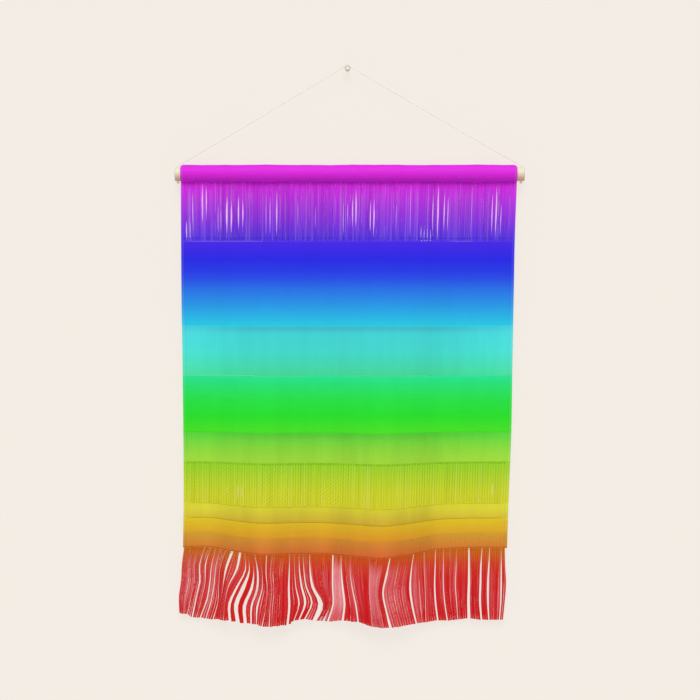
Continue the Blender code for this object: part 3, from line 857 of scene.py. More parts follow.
def band_slab(top, bottom, front, pitch, ribs, recess):
    """One band as a closed sheet, rounded at its edges and drawn back at its top."""
    across = columns(pitch, 4) if ribs else columns(pitch, 1)
    downs = band_rows(top, bottom)
    from_edge = np.minimum(downs - top, bottom - downs)
    rounding = 0.8 + 0.2 * np.clip(from_edge / 0.001, 0, 1) ** 0.5
    drawn = recess * np.clip(1 - (downs - top) / DRAWN_BACK, 0, 1) ** 1.5
    rib = ribs * np.cos(2 * math.pi * across / pitch)
    stand = (front + rib + hem_relief(across))[:, None] * rounding[None, :]
    bow = np.broadcast_to(drawn[None, :], stand.shape)
    return slab(across, downs, stand - bow, stand + bow * 0.6)


weaves = {
    "satin": satin_material("satin weave", MATT, grey(1.0)),
    "pocket satin": satin_material("pocket satin weave", 0.32, (1.0, 0.3, 1.0)),
}
# Gauze: name, how deep and how pale the dye looks, how deep in the middle, metres below the peg to its
# top, strength of the painted shadow there, of its pale knots and of the painted shade in its holes,
# height of its soft top edge
GAUZES = (
    ("cyan gauze", 0.935, 0.05, 0.90, 0.2908, 0.42, 0.04, 0.4, 0.0045),
    ("lime gauze", 0.885, 0.036, 0.945, 0.4122, 0.3, 0.015, 0.6, 0.0016),
    ("yellow gauze", 0.89, 0.028, 0.95, 0.4925, 0.0, 0.0, 0.6, 0.0008),
)
for gauze, *looks in GAUZES:
    weaves[gauze] = gauze_material(f"{gauze} weave", *looks)
weaves["ribbed"] = ribbed_material()


def join(shapes):
    """Several shapes, each as (points, faces, places), as one."""
    points, faces, places, first = [], [], [], 0
    for own_points, own_faces, own_places in shapes:
        points.append(own_points)
        places.append(own_places)
        faces += [tuple(first + corner for corner in face) for face in own_faces]
        first += len(own_points)
    return np.concatenate(points), faces, np.concatenate(places)


def join_cloth():
    """The pocket and the bands as one mesh, each with its own weave."""
    shells = [("pocket satin", pocket())]
    shells += [(weave, band_slab(*sizes)) for weave, *sizes in BANDS]
    shape = join([shell for _, shell in shells])
    piece = new_piece("woven_cloth", shape, weaves["satin"], CLOTH_SMOOTH)
    for weave in list(weaves.values())[1:]:
        piece.data.materials.append(weave)
    kinds = [list(weaves).index(weave) for weave, shell in shells for _ in shell[1]]
    piece.data.polygons.foreach_set("material_index", kinds)
    return piece


woven_cloth = join_cloth()
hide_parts("cloth")


# Loose warp: in two bands the weft is left out, so that only the flat
# warp yarns run down, close together. They part in narrow open slits,
# and their split-off fibres show across the slits.
VIOLET_BAND = (0.1275, 0.1970)
YELLOW_BAND = (0.4448, 0.4936)
YARN_SIDES = 8
# How round a yarn's section is, sideways and forward: 1 is round, and less is squarer
YARN_SECTION = (0.75, 1)
YARN_SEGMENTS = 14
YARN_SMOOTH = 50
YARN_THICKNESS = 0.00105
YARN_FORE = 0.0003
HALF_THINNEST = 0.0001
TAPE_FRONT = 0.00062
FIBRE_PITCH = 0.00065
FIBRE_WIDTH = 0.0002
FIBRE_SIDES = 4
FIBRE_BEHIND = 0.0006
FIBRE_THINNEST = 0.00003
# Slits: how far aside they push the yarns, how wide they open, how much of them their fibres fill
SLIT_REACH = 0.0042
SLIT_OPENING = 1.12
SLIT_FIBRE_SHARE = 0.75
LILAC_YARN = (0.93, 0.62, 1.0)
# Painted glow: the pale lilac of light shining through the slits and gaps, laid on the fine fibres
SLIT_GLOW_LILAC = (1.0, 0.55, 1.0)
# Metres below the peg from where to where the shade under the pocket fades out
POCKET_SHADE = (0.128, 0.150)
# The yellow yarns' twist: spacing of its ridges, their slant, spacing of the yarns
TWIST_RIDGE = 0.0041
TWIST_SLANT = 0.72
TWIST_END = 0.0030
# Slits of the violet band: place across, top and bottom in metres below the peg, width
VIOLET_SLITS = (
    (-0.1825, 0.172, 0.196, 0.00114),
    (-0.1790, 0.170, 0.196, 0.00084),
    (-0.1755, 0.138, 0.190, 0.00068),
    (-0.1645, 0.129, 0.178, 0.00137),
    (-0.1605, 0.132, 0.170, 0.00114),
    (-0.1465, 0.150, 0.190, 0.00061),
    (-0.1435, 0.155, 0.188, 0.00046),
    (-0.1365, 0.143, 0.189, 0.00182),
    (-0.1320, 0.148, 0.190, 0.00144),
    (-0.1235, 0.142, 0.186, 0.00122),
    (-0.1190, 0.148, 0.182, 0.00114),
    (-0.0920, 0.140, 0.193, 0.00068),
    (-0.0875, 0.142, 0.193, 0.00068),
    (-0.0800, 0.137, 0.193, 0.00114),
    (-0.0560, 0.145, 0.185, 0.00046),
    (-0.0360, 0.150, 0.188, 0.00046),
    (-0.0040, 0.150, 0.192, 0.00061),
    (0.0010, 0.145, 0.185, 0.00061),
    (0.0065, 0.143, 0.184, 0.00114),
    (0.0100, 0.135, 0.184, 0.00137),
    (0.0270, 0.148, 0.188, 0.00114),
    (0.0305, 0.146, 0.193, 0.00129),
    (0.0560, 0.150, 0.192, 0.00053),
    (0.0850, 0.178, 0.196, 0.00060),
    (0.0885, 0.180, 0.196, 0.00068),
    (0.0920, 0.180, 0.196, 0.00068),
    (0.0955, 0.184, 0.196, 0.00060),
    (0.0980, 0.140, 0.190, 0.00106),
    (0.1035, 0.129, 0.196, 0.00144),
    (0.1105, 0.138, 0.188, 0.00106),
    (0.1145, 0.145, 0.186, 0.00068),
    (0.1655, 0.138, 0.192, 0.00106),
    (0.1695, 0.129, 0.196, 0.00144),
    (0.1750, 0.150, 0.192, 0.00068),
)
# How strongly the yarns' own tones differ, by place across: paler yarns where it is small
TONE_SHARES = (
    (-0.188, 0.1),
    (-0.166, 0.2),
    (-0.150, 1),
    (0.025, 1),
    (0.045, 0.3),
    (0.075, 0.2),
    (0.095, 1),
    (0.116, 0.3),
    (0.135, 1),
    (0.165, 0.6),
    (0.188, 0.1),
)
# Slits of the yellow band: place across, top and bottom in metres below the peg, width
YELLOW_SLITS = (
    (-0.1390, 0.468, 0.488, 0.00025),
    (-0.1255, 0.466, 0.489, 0.00045),
    (-0.1205, 0.468, 0.488, 0.00035),
    (0.1725, 0.467, 0.487, 0.00050),
)


def yarn_borders(slits, pitch):
    """Borders between neighbouring yarns, with one at every slit."""
    marks = [CLOTH_LEFT + SIDE_HEM, *(slit[0] for slit in slits), CLOTH_RIGHT - SIDE_HEM]
    borders = [marks[0]]
    for left, right in zip(marks, marks[1:]):
        count = max(1, round((right - left) / pitch))
        borders += [left + (right - left) * (k + 1) / count for k in range(count)]
    return np.array(borders)


def part_yarns(borders, downs, slits, side):
    """Moves the borders aside where slits open. side says which side of a slit a border is on."""
    place = borders[:, None] + np.zeros_like(downs)[None, :]
    moved = place.copy()
    for middle, top, bottom, width in slits:
        share = np.clip((downs - top) / (bottom - top), 0, 1)
        lens = np.sin(math.pi * share) ** 1.2 * SLIT_OPENING * width / 2
        away = borders - middle + side * 1e-6  # so that a border in a slit's middle takes its side
        push = np.sign(away) * np.exp(-np.abs(away) / SLIT_REACH)
        moved += push[:, None] * lens[None, :]
    return moved


def strands(middle, half, thickness, place, section, sides):
    """Flat closed strands, by rows down, from arrays of (x, y, z), half width and thickness.

    place is (across, down, tone). section rounds the strands sideways and forward: 1 is round.
    """
    turns = np.linspace(0, 2 * math.pi, sides, endpoint=False)
    ring_x = np.sign(np.cos(turns)) * np.abs(np.cos(turns)) ** section[0]
    ring_y = np.sign(np.sin(turns)) * np.abs(np.sin(turns)) ** section[1]
    x, y, z = (values[..., None] for values in middle)
    own_x, own_down, tone = (values[..., None] for values in place)
    wide = half[..., None] * ring_x
    deep = np.asarray(thickness)[..., None] / 2 * ring_y
    level = np.zeros((*half.shape, sides))
    points = np.stack((x + wide, y - deep, z + level), axis=-1)
    places = np.stack((own_x + wide, own_down + level, tone[:, None] + level), axis=-1)
    index = np.arange(level.size).reshape(level.shape)
    faces = around(index).tolist() + index[:, 0, ::-1].tolist() + index[:, -1].tolist()
    return points.reshape(-1, 3), faces, places.reshape(-1, 3)


def yarns(left, right, downs, thickness, fore, tones, sides=YARN_SIDES):
    """Flat yarns on the hanging cloth, between their left and right borders."""
    middle = (left + right) / 2
    half = np.maximum((right - left) / 2, HALF_THINNEST)
    x, y, z = hang(middle, downs)
    return strands((x, y - fore, z), half, thickness, (middle, downs, tones), YARN_SECTION, sides)


def yarn_fibres(place):
    """Fine fibres along a yarn."""
    return noise(place, (1300.0, 40.0, 40.0), 2.0)


def loose_material(name, deep, pale, tones, lines, glow):
    """Flat spun yarn: fine lengthwise fibres, and every yarn dyed a touch lighter or darker."""
    material, shader, start = new_material(name, MATT)
    place, _, down, tone = own_place(start)
    fibre = yarn_fibres(place)
    line = noise(place, (460.0, 3.0, 9.0), 2.0)
    under = 1 - down.step(*POCKET_SHADE)
    # glow mixes in painted glow of light shining through the slits
    color = dyed(start, deep, pale).mix(glow, SLIT_GLOW_LILAC).tint(tone * tones, (0.66, 0.66, 0.70))
    color = color.mix(line.step(0.48, 0.72) * (1 - under) * lines, LILAC_YARN)
    color = color.tint(under * lines * 8, (0.97, 0.5, 1.0))
    color = color.tint(fibre.step(0.35, 0.7) * 0.5, (0.80, 0.80, 0.82))
    finish(shader, color, 0.65 + fibre * 0.25, fibre, 0.00015, 0.7)
    return material


def twill_material():
    """Fine twisted yarns lying side by side: the twists line up as faint slanting ridges."""
    material, shader, start = new_material("yellow warp yarn", MATT)
    place, across, down, _ = own_place(start)
    drift = noise(place, (28.0, 14.0, 0.0), 1.0)
    stripe = noise(place, (420.0, 5.0, 0.0), 2.0)
    twist = (across * TWIST_SLANT + down).wave(TWIST_RIDGE)
    ends = across.wave(TWIST_END)
    slanting = drift.step(0.35, 0.65)
    color = dyed(start, 0.84, 0.016).tint(twist.step(0.2, 0.9) * slanting * 0.48, (0.80, 0.84, 0.76))
    # Painted shade between the yarns where the twist does not slant
    color = color.tint((1 - slanting) * (1 - ends) * 0.65, (0.82, 0.84, 0.78))
    color = color.tint(stripe.step(0.5, 0.75) * 0.7, (0.84, 0.86, 0.80))
    color = color.mix((1 - stripe.step(0.2, 0.45)) * 0.07, WHITE_YARN)
    finish(shader, color, 0.65 + drift * 0.2, twist * slanting * 0.6 + ends * 0.4, 0.00015, 0.6)
    return material


def loose_band(name, band, slits, material, pitch, seed, gap, sway):
    """One band of loose warp yarns, each with its own width, depth and tone."""
    top, bottom = band
    chance = np.random.default_rng(seed)
    borders = yarn_borders(slits, pitch)
    count = len(borders) - 1
    downs = np.linspace(top, bottom, YARN_SEGMENTS + 1)
    left = part_yarns(borders[:-1], downs, slits, 1)
    right = part_yarns(borders[1:], downs, slits, -1)
    share = (downs - top) / (bottom - top)
    open_middle = np.sin(math.pi * share)[None, :]
    space = gap * chance.random(count + 1)[:, None] ** 1.5 * (0.25 + 0.75 * open_middle)
    aside = sway * chance.standard_normal(count)[:, None] * open_middle
    left = left + space[:-1] / 2 + aside
    right = right - space[1:] / 2 + aside
    fore = YARN_FORE * chance.standard_normal(count)[:, None] * open_middle
    thickness = YARN_THICKNESS * (1 + 0.1 * chance.standard_normal(count))[:, None]
    rows = np.broadcast_to(downs, left.shape)
    tones = chance.random(count) * np.interp(borders[:-1], *zip(*TONE_SHARES))
    shape = yarns(left, right, rows, thickness, fore, tones)
    return new_piece(name, shape, material, YARN_SMOOTH)


def fibres(name, middle, half, downs, tones, material):
    """Fine fibre ends that have split off and hang just behind the yarns."""
    shape = yarns(middle - half, middle + half, downs, FIBRE_WIDTH, -FIBRE_BEHIND, tones, FIBRE_SIDES)
    return new_piece(name, shape, material, YARN_SMOOTH)


def slit_fibres(name, slits, material):
    """Fibre ends that stay across every slit, just behind its two yarns, pale with painted glow of the light
    through it.
    """
    middle, top, bottom, width = (np.array(column)[:, None] for column in zip(*slits))
    share = np.linspace(0, 1, 9)[None, :]
    half = np.maximum(SLIT_FIBRE_SHARE * width / 2 * np.sin(math.pi * share), FIBRE_THINNEST)
    return fibres(name, middle, half, top + (bottom - top) * share, np.zeros(len(slits)), material)


def gap_fibres(name, band, seed, material):
    """Fibre ends all along a band of loose yarns, across the yarns' gaps."""
    top, bottom = band
    chance = np.random.default_rng(seed)
    count = round((CLOTH_RIGHT - CLOTH_LEFT - 2 * SIDE_HEM) / FIBRE_PITCH)
    roots = np.linspace(CLOTH_LEFT + SIDE_HEM, CLOTH_RIGHT - SIDE_HEM, count)
    roots = roots + FIBRE_PITCH * chance.uniform(-0.5, 0.5, count)
    downs = np.linspace(top, bottom, 8)
    lean = np.sin(math.pi * (downs - top) / (bottom - top)) * chance.uniform(-1, 1, count)[:, None]
    middle = roots[:, None] + FIBRE_PITCH * lean
    rows = np.broadcast_to(downs, middle.shape)
    return fibres(name, middle, FIBRE_WIDTH / 2, rows, chance.random(count), material)


violet_yarn = loose_material("violet warp yarn", 0.99, 0.022, tones=0.5, lines=0.1, glow=0.0)
# The fine fibres are made pale by painted glow of light through the slits and gaps
fine_fibre = loose_material("violet fine fibre", 1.0, 0.12, tones=0.1, lines=0.0, glow=0.85)
yellow_yarn = twill_material()
violet_warp = loose_band(
    "loose_warp_violet", VIOLET_BAND, VIOLET_SLITS, violet_yarn, 0.0033, seed=4, gap=0.00014, sway=0.00005
)
slit_filaments = slit_fibres("slit_fibres", VIOLET_SLITS, fine_fibre)
violet_filaments = gap_fibres("loose_warp_fibres", VIOLET_BAND, 5, fine_fibre)
yellow_warp = loose_band(
    "loose_warp_yellow", YELLOW_BAND, YELLOW_SLITS, yellow_yarn, 0.00297, seed=9, gap=0.0, sway=0.00002
)


def side_tape(name, band, weave):
    """The two side hems where the bands between them are loose warp."""
    downs = np.linspace(*band, 12)
    inward = np.array((0, 0.0003, 0.0009, 0.0017, 0.0026, 0.0032, 0.0036))
    strips = []
    for across in (CLOTH_LEFT + inward, np.sort(CLOTH_RIGHT - inward)):
        stand = (TAPE_FRONT + hem_relief(across))[:, None] + 0 * downs
        strips.append(slab(across, downs, stand, stand))
    return new_piece(name, join(strips), weave, CLOTH_SMOOTH)


violet_tape = side_tape("side_hem_violet", VIOLET_BAND, weaves["satin"])
yellow_tape = side_tape("side_hem_yellow", YELLOW_BAND, yellow_yarn)


# Fringe: the warp yarns left long below the hem and cut off, on one
# narrow stitched heading. They hang in locks that part and lean.
FRINGE_PITCH = 0.0026
FRINGE_THINNEST = 0.0008
FRINGE_SEGMENTS = 12
FRINGE_SECTION = (0.6, 0.8)
HEADING_DOWN = HEM_DOWN - 0.0002
HEADING_HEIGHT = 0.0014
HEADING_PITCH = 0.0040
HEADING_BULGE = 0.00042
FRINGE_TUCK = 0.0004
FRINGE_EXTRA = 0.0034
# The share of their stated width that the partings keep, and where on its way down each yarn starts
# to taper and, in the curled tips, to turn aside
GAP_WIDTH = 0.9
TAPER_FROM = 0.93
CURL_FROM = 0.78
FRINGE_CURL = 0.0012
CUT_UNEVEN = 0.0004
# Length that the pattern's own places run down each yarn
PATTERN_LENGTH = 0.08
HAIR_RADIUS = 0.00012
HAIR_BEHIND = 0.00045
HAIR_LENGTHS = (0.074, 0.012)
FRINGE_SEED = 21
# Partings between the locks, in mm: places across at the heading, at each quarter of the way down
# and at the tips, how far each is open at those heights, and the yarns' length there
QUARTERS = (0, 0.25, 0.5, 0.75, 1)
PARTINGS = (
    ((-185.5, -188, -189, -191.5, -191), (0, 0, 0, 0, 0), 73.1),
    ((-168.5, -174, -174, -178, -182), (0, 0.2, 0.2, 0.2, 0.2), 74.5),
    ((-162, -168, -168, -172.5, -176.5), (0.2, 1, 1.8, 1.7, 1.2), 78.4),
    ((-155.5, -161.5, -162, -166.5, -172), (0.1, 1.3, 0.5, 0.3, 0.3), 78.4),
    ((-149.5, -154.5, -156.5, -160, -167.5), (0.1, 0.8, 1.2, 1.6, 1.3), 77.6),
    ((-144.5, -149.5, -151.5, -155, -161), (0.1, 0.5, 1, 1.2, 0.9), 77.7),
    ((-138, -144.5, -146, -147, -152.5), (0.1, 0.3, 0.4, 0.7, 1.2), 77),
    ((-130.5, -137.5, -141, -143.5, -146.5), (3, 2.4, 0.3, 0, 0), 75.2),
    ((-121.5, -125.5, -135, -139, -140.5), (2.8, 2.4, 0.5, 0.1, 0.3), 75.5),
    ((-116.5, -115.5, -125, -133.5, -133), (0.2, 1.2, 2.2, 3, 3), 74.6),
    ((-113, -111, -118, -126, -124), (0.1, 1.2, 4.6, 4.9, 4.8), 76.7),
    ((-109.5, -106, -108.5, -116.5, -115.5), (0.1, 0.4, 3.3, 4.1, 3.7), 76.8),
    ((-105, -101.5, -102, -108.5, -109), (0.3, 1.9, 2.6, 2.1, 1.6), 76.9),
    ((-98.5, -96.5, -96.5, -102, -103), (0.1, 0.2, 0.8, 2.2, 0.6), 76.9),
    ((-91.5, -92, -90.5, -92.5, -96.5), (0.6, 0.9, 0.3, 0.1, 0.8), 78.8),
    ((-85, -87, -85.5, -87.5, -88.5), (0.2, 0.3, 0.2, 0.3, 1), 79.6),
    ((-65.5, -66, -66.5, -66, -68), (0.2, 1.2, 2.2, 2.6, 2.6), 78.8),
    ((-60.5, -60, -58.5, -55, -61), (0.1, 0.3, 0.9, 1.6, 1.2), 73.6),
    ((-55, -54.5, -52, -48, -55), (0.1, 1.2, 2.1, 2.7, 1.7), 73.4),
    ((-50.5, -49.5, -47, -40.5, -48.5), (0.1, 0.8, 1.5, 1.9, 1.4), 72.2),
    ((-43, -42.5, -39.5, -30.5, -36), (0.3, 1.5, 3.5, 6, 8), 73.9),
    ((-16.5, -17, -17, -16.5, -22.5), (1.6, 1.7, 1.6, 1.5, 2.2), 74.6),
    ((-7.5, -7, -5.5, -3.5, -5.5), (0.4, 1.2, 2.3, 2.3, 2.2), 72),
    ((3, 3, 5.5, 9.5, 12), (0.1, 0.4, 1.2, 1.6, 1.5), 72.6),
    ((25, 24.5, 24.5, 26, 28), (0.1, 0.2, 0.3, 0.2, 0.3), 75.9),
    ((48, 44, 40, 43.5, 48.5), (1.2, 2.4, 1.8, 1.9, 3.3), 76.7),
    ((75, 72, 71, 73.5, 78), (0.7, 1.5, 2.5, 2.2, 1.5), 77),
    ((87, 87, 88, 88.5, 89), (0.3, 0.4, 0.4, 0.4, 0.3), 78.1),
    ((100, 99.5, 99, 100, 102.5), (0.5, 1.2, 1.7, 1.9, 1.7), 78.2),
    ((109, 109, 109, 110.5, 113.5), (0.2, 0.6, 0.8, 1.1, 1.2), 79.7),
    ((124, 123.5, 122.5, 124, 125.5), (0.1, 0.5, 0.8, 0.7, 0.5), 79.2),
    ((138, 138, 138, 137.5, 138), (1.6, 2, 2.8, 3.2, 3.6), 78.4),
    ((153, 151.5, 151, 150.5, 152), (0.5, 1.8, 2.4, 2.4, 1.8), 79.9),
    ((161.5, 160.5, 159.5, 159.5, 160.5), (0.4, 1.6, 2.4, 2.2, 1.2), 80),
    ((174.5, 174.5, 174.5, 174, 172.5), (0.2, 1.2, 1.8, 1.6, 1), 80),
    ((178.5, 179, 180, 178.5, 176.5), (0, 0, 0, 0, 0), 80.1),
)
PINK_YARN = (0.95, 0.42, 0.47)
# Stretches where the yarns are thin: from, to, millimetres open between them, how pale they look
SPARSE = (
    (-0.181, -0.167, 0.14, 0.9),
    (-0.152, -0.142, 0.12, 0.9),
    (-0.090, -0.073, 0.08, 0.0),
    (-0.0165, -0.0075, 0.24, 2.3),
    (0.001, 0.006, 0.08, 0.6),
    (0.024, 0.039, 0.12, 1.5),
    (0.048, 0.071, 0.12, 0.8),
    (0.075, 0.079, 0.08, 0.9),
)
TIP_CURLS = (
    (-0.0430, -0.0330, -0.0030),
    (-0.0330, -0.0260, -0.0022),
)


def hem_point(x):
    """The depth and height of the cloth's hem at a place across, as it hangs."""
    across = np.linspace(CLOTH_LEFT, CLOTH_RIGHT, 200)
    hem_x, hem_y, hem_z = hang(across, HEADING_DOWN)
    return np.interp(x, hem_x, hem_y), np.interp(x, hem_x, hem_z)


def lock_edge(parting, side, share):
    """One edge of the lock beside a parting, in metres, all the way down."""
    places, gaps, _ = parting
    middle = smooth(QUARTERS, places, share)
    opened = np.where(share < 0.25, share**2 / 0.25, share)
    return 0.001 * (middle + side * GAP_WIDTH * np.interp(opened, QUARTERS, gaps) / 2)


def sparse_at(x):
    """How far apart the yarns hang at a place along the hem, and how pale they look."""
    found = [(gap, pale) for start, stop, gap, pale in SPARSE if start < x < stop]
    return found[0] if found else (0, 0)


def fringe_plan(share, chance):
    """Every yarn's two edges all the way down, its length, and the borders inside the locks."""
    lefts, rights, lengths, hairs = [], [], [], []
    for a, b in zip(PARTINGS, PARTINGS[1:]):
        wide = 0.001 * (b[0][0] - a[0][0])
        count = max(1, round(wide / FRINGE_PITCH))
        low, high = lock_edge(a, 1, share), lock_edge(b, -1, share)
        root = 0.001 * a[0][0] + wide * np.arange(count + 1) / count
        bare = [sparse_at(x)[0] for x in root]
        closed = chance.random(count + 1) < 0.6
        opening = np.where(closed, 0, chance.uniform(0.1, 0.34, count + 1))
        opening = 0.001 * (opening + np.array(bare))
        opening[[0, -1]] = 0
        top = chance.uniform(-0.2, 0.35, count + 1)[:, None]
        bottom = chance.uniform(0.7, 1.15, count + 1)[:, None]
        lens = np.sin(math.pi * np.clip((share - top) / (bottom - top), 0, 1)) ** 0.6
        slack = np.clip(((high - low) / wide - 0.6) / 0.35, 0, 1.3)
        slit = opening[:, None] * lens * slack
        border = low + (high - low) * (np.arange(count + 1) / count)[:, None]
        hairs += list(border[1:-1])
        lefts += list(border[:-1] + slit[:-1] / 2)
        rights += list(border[1:] - slit[1:] / 2)
        lengths += list(0.001 * (a[2] + (b[2] - a[2]) * (np.arange(count) + 0.5) / count))
    return np.array(lefts), np.array(rights), np.array(lengths), np.array(hairs)


def fringe_yarns():
    """Every yarn of every lock, as a flat strand that leans with its lock and ends cut."""
    chance = np.random.default_rng(FRINGE_SEED)
    share = np.linspace(0, 1, FRINGE_SEGMENTS + 1)
    left, right, lengths, _ = fringe_plan(share, chance)
    count = len(lengths)
    middle = (left + right) / 2
    root = middle[:, 0]
    for start, stop, aside in TIP_CURLS:
        curled = ((root > start) & (root < stop))[:, None]
        middle = middle + curled * aside * np.clip((share - CURL_FROM) / (1 - CURL_FROM), 0, 1) ** 2
    taper = 1 - 0.08 * np.clip((share - TAPER_FROM) / (1 - TAPER_FROM), 0, 1) ** 2
    half = np.maximum(right - left, FRINGE_THINNEST) / 2 * taper
    root_y, root_z = hem_point(root)
    curl = FRINGE_CURL * np.sin(0.35 * np.arange(count)) + 0.0005 * chance.standard_normal(count)
    fore = YARN_FORE * chance.standard_normal(count)
    y = root_y[:, None] - curl[:, None] * share**2 + fore[:, None] * share**0.5
    length = lengths + FRINGE_EXTRA - CUT_UNEVEN * chance.random(count)
    z = root_z[:, None] - HEADING_HEIGHT + FRINGE_TUCK - (length - HEADING_HEIGHT)[:, None] * share
    tones = chance.random(count) + np.array([sparse_at(x)[1] for x in root])
    place = (root[:, None], (share * PATTERN_LENGTH)[None, :], tones)
    return strands((middle, y, z), half, YARN_THICKNESS * taper, place, FRINGE_SECTION, YARN_SIDES)


def bridging_fibres():
    """Fine fibres that bridge the gaps between the yarns of a lock, just behind them."""
    chance = np.random.default_rng(33)
    share = np.linspace(0, 1, 8)
    middle = fringe_plan(share, np.random.default_rng(FRINGE_SEED))[3]
    middle = np.concatenate((middle - 0.00012, middle + 0.00014))
    count = len(middle)
    waves = chance.uniform(5, 12, count)[:, None]
    middle = middle + 0.00012 * np.sin(share * waves + chance.uniform(0, 6, count)[:, None])
    root_y, root_z = hem_point(middle[:, 0])
    length = HAIR_LENGTHS[0] - HAIR_LENGTHS[1] * chance.random(count)
    z = root_z[:, None] - HEADING_HEIGHT - length[:, None] * share
    hairs = []
    for x_row, y, z_row in zip(middle, root_y + HAIR_BEHIND, z):
        path = np.stack((x_row, y + 0 * x_row, z_row), axis=1)
        points, faces, _ = tube(path, HAIR_RADIUS, FIBRE_SIDES)
        places = points.copy()
        places[:, 0] += x_row[0] - np.repeat(x_row, FIBRE_SIDES)
        places[:, 1] = 0.05
        places[:, 2] = chance.random()
        hairs.append((points, faces, places))
    return join(hairs)


def fringe_material(name, deep, pale):
    """The same dyed yarn, cut and combed out: each yarn a little paler or deeper than the next."""
    material, shader, start = new_material(name, MATT)
    place, _, down, tone = own_place(start)
    fibre = yarn_fibres(place)
    line = noise(place, (520.0, 9.0, 9.0), 2.0)
    haze = down.step(0.003, 0.022) * (1 - down.step(0.05, 0.078) * 0.6)
    color = dyed(start, deep, 0.0).tint(down.step(0.008, 0.03), (1.0, 0.72, 0.78))
    color = color.mix(tone * tone * haze * 0.08, PINK_YARN).mix(pale, WHITE_YARN)
    color = color.mix(line.step(0.5, 0.72) * haze * 0.22, PINK_YARN)
    color = color.tint(fibre.step(0.35, 0.7) * 0.4, (0.82, 0.80, 0.80))
    finish(shader, color, 0.65 + fibre * 0.25, fibre, 0.00015, 0.7)
    return material


fringe_dye = fringe_material("fringe yarn", 0.80, 0.0)
fibre_dye = fringe_material("fringe fine fibre", 1.0, 0.25)
fringe_hairs = new_piece("fringe_fibres", bridging_fibres(), fibre_dye, CORD_SMOOTH)
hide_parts("fringe")
fringe = new_piece("fringe_yarns", fringe_yarns(), fringe_dye, YARN_SMOOTH)
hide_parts("fringe")


# Stitching: a pale twining thread where dense weave meets loose warp, a
# thin one under the gauze, and an overcast row that holds the heading.
THREAD_SIDES = 6
THREAD_STEP = 0.0012
THREAD_SINKS = 0.012
THREAD_RIPPLE = 0.00008
THREAD_WAVES = 900


def thread_line(name, down, radius, across, stand, material):
    """A thread along the front of the cloth, sinking into it toward both ends."""
    places = np.linspace(*across, max(4, round((across[1] - across[0]) / THREAD_STEP)))
    from_end = np.minimum(places - across[0], across[1] - places)
    sunk = stand - 2.5 * radius * np.clip(1 - from_end / THREAD_SINKS, 0, 1) ** 2
    x, y, z = hang(places, down)
    path = np.stack((x, y - sunk, z + THREAD_RIPPLE * np.sin(places * THREAD_WAVES)), axis=1)
    return new_piece(name, tube(path, radius, THREAD_SIDES), material, CORD_SMOOTH)


def stitch_row(name, down, across, pitch, length, dip, radius, stand, material, slot):
    """Separate short stitches along the cloth."""
    chance = np.random.default_rng(round(down * 10000))
    share = np.linspace(-1, 1, 5)
    stitches = []
    for middle in np.arange(*across, pitch):
        middle = middle + pitch * 0.08 * chance.standard_normal()
        x, y, z = hang(middle + share * length / 2, down + dip * (1 - share**2))
        path = np.stack((x, y - (stand - radius * 1.2 * share**2), z), axis=1)
        stitches.append(tube(path, radius, THREAD_SIDES))
    return new_piece(name, join(stitches), material, CORD_SMOOTH)


def hanging_row(name, drop, pitch, length, radius, stand, material):
    """Stitches across the fringe's roots, a little below the hem."""
    left, right = 0.001 * PARTINGS[0][0][0], 0.001 * PARTINGS[-1][0][0]
    stitches = []
    for middle in np.arange(left + pitch / 2, right, pitch):
        across = middle + np.linspace(-0.5, 0.5, 4) * length
        y, z = hem_point(across)
        stitches.append(tube(np.stack((across, y - stand, z - drop), axis=1), radius, THREAD_SIDES))
    return new_piece(name, join(stitches), material, CORD_SMOOTH)


def thread_material(name, deep, pale):
    """Sewing thread in the band's own hue."""
    material, shader, start = new_material(name, 0.1)
    grain = noise(start.make("ShaderNodeTexCoord", None, None, 3), 500.0, 2.0)
    color = dyed(start, deep, pale).tint(grain * 0.4, (0.8, 0.8, 0.85))
    finish(shader, color, 0.8, grain, 0.0001)
    return material


pale_thread = thread_material("pale thread", 1.0, 0.22)
bright_thread = thread_material("bright thread", 1.0, 0.6)
dark_thread = thread_material("dark thread", 0.5, 0.0)
deep_thread = thread_material("deep thread", 0.80, 0.0)
SEWN = (CLOTH_LEFT + SIDE_HEM, CLOTH_RIGHT - SIDE_HEM)
HEMMED = (CLOTH_LEFT + 0.001, CLOTH_RIGHT - 0.001)
PALEST = (0.0853, 0.0968)
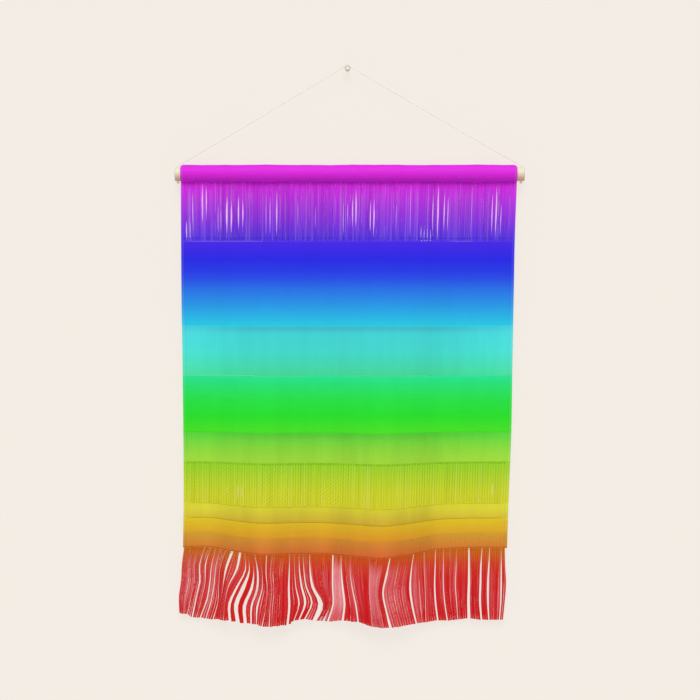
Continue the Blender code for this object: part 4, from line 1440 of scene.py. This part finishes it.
# Threads: name, metres below the peg, radius, from and to across, stand off the cloth, thread
THREADS = (
    ("twining_thread_left", 0.1966, 0.00024, (-0.1860, -0.0900), 0.00085, pale_thread),
    ("twining_thread_right", 0.1966, 0.00024, (0.1120, 0.1500), 0.00085, pale_thread),
    ("gauze_thread_left", 0.3484, 0.00026, (-0.1880, -0.1020), 0.00085, pale_thread),
    ("gauze_thread_middle", 0.3492, 0.00018, (-0.1120, -0.0400), 0.00100, pale_thread),
    ("gauze_thread_right", 0.3489, 0.00020, (-0.0050, 0.0950), 0.00100, pale_thread),
    ("yellow_border_thread", 0.4929, 0.00020, SEWN, 0.00095, deep_thread),
    ("gold_border_thread", 0.5093, 0.00024, SEWN, 0.00115, deep_thread),
)
# Stitches: name, metres below the peg, from and to across, pitch, length, dip, radius,
# stand off the cloth, thread, and the part that they are sewn to
CLOTH, FRINGE = "woven_cloth", "fringe_yarn"
STITCHES = (
    ("violet_dot_stitches", 0.1930, SEWN, 0.0033, 0.0010, 0.0, 0.00032, 0.00075, dark_thread, CLOTH),
    ("twining_stitches", 0.1966, SEWN, 0.0033, 0.0011, 0.0, 0.00020, 0.00092, pale_thread, CLOTH),
    ("twining_stitches_bright", 0.1960, PALEST, 0.0033, 0.0005, 0.0, 0.00044, 0.00100, bright_thread, CLOTH),
    ("yellow_scallop_stitches", 0.4466, SEWN, 0.00297, 0.0027, 0.0010, 0.00028, 0.00070, deep_thread, CLOTH),
    ("hem_stitches_upper", 0.5419, HEMMED, 0.0024, 0.0026, 0.0, 0.00028, 0.00075, deep_thread, FRINGE),
)
stitching = [thread_line(*thread) for thread in THREADS]
stitching += [stitch_row(*row) for row in STITCHES]
stitching.append(hanging_row("hem_stitches_lower", 0.0029, 0.0026, 0.0021, 0.00024, 0.00062, deep_thread))


def heading():
    """The narrow rolled strip that the fringe's roots are sewn into."""
    across = columns(HEADING_PITCH, 1)
    downs = HEADING_DOWN + HEADING_HEIGHT * np.linspace(0, 1, 6)
    bulge = HEADING_BULGE * np.sin(math.pi * np.linspace(0.08, 0.92, len(downs))) ** 0.5
    stand = np.broadcast_to(bulge, (len(across), len(downs)))
    shape = slab(across, downs, stand, stand)
    return new_piece("fringe_heading", shape, weaves["ribbed"], CORD_SMOOTH)


heading_strip = heading()
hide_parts("fringe")
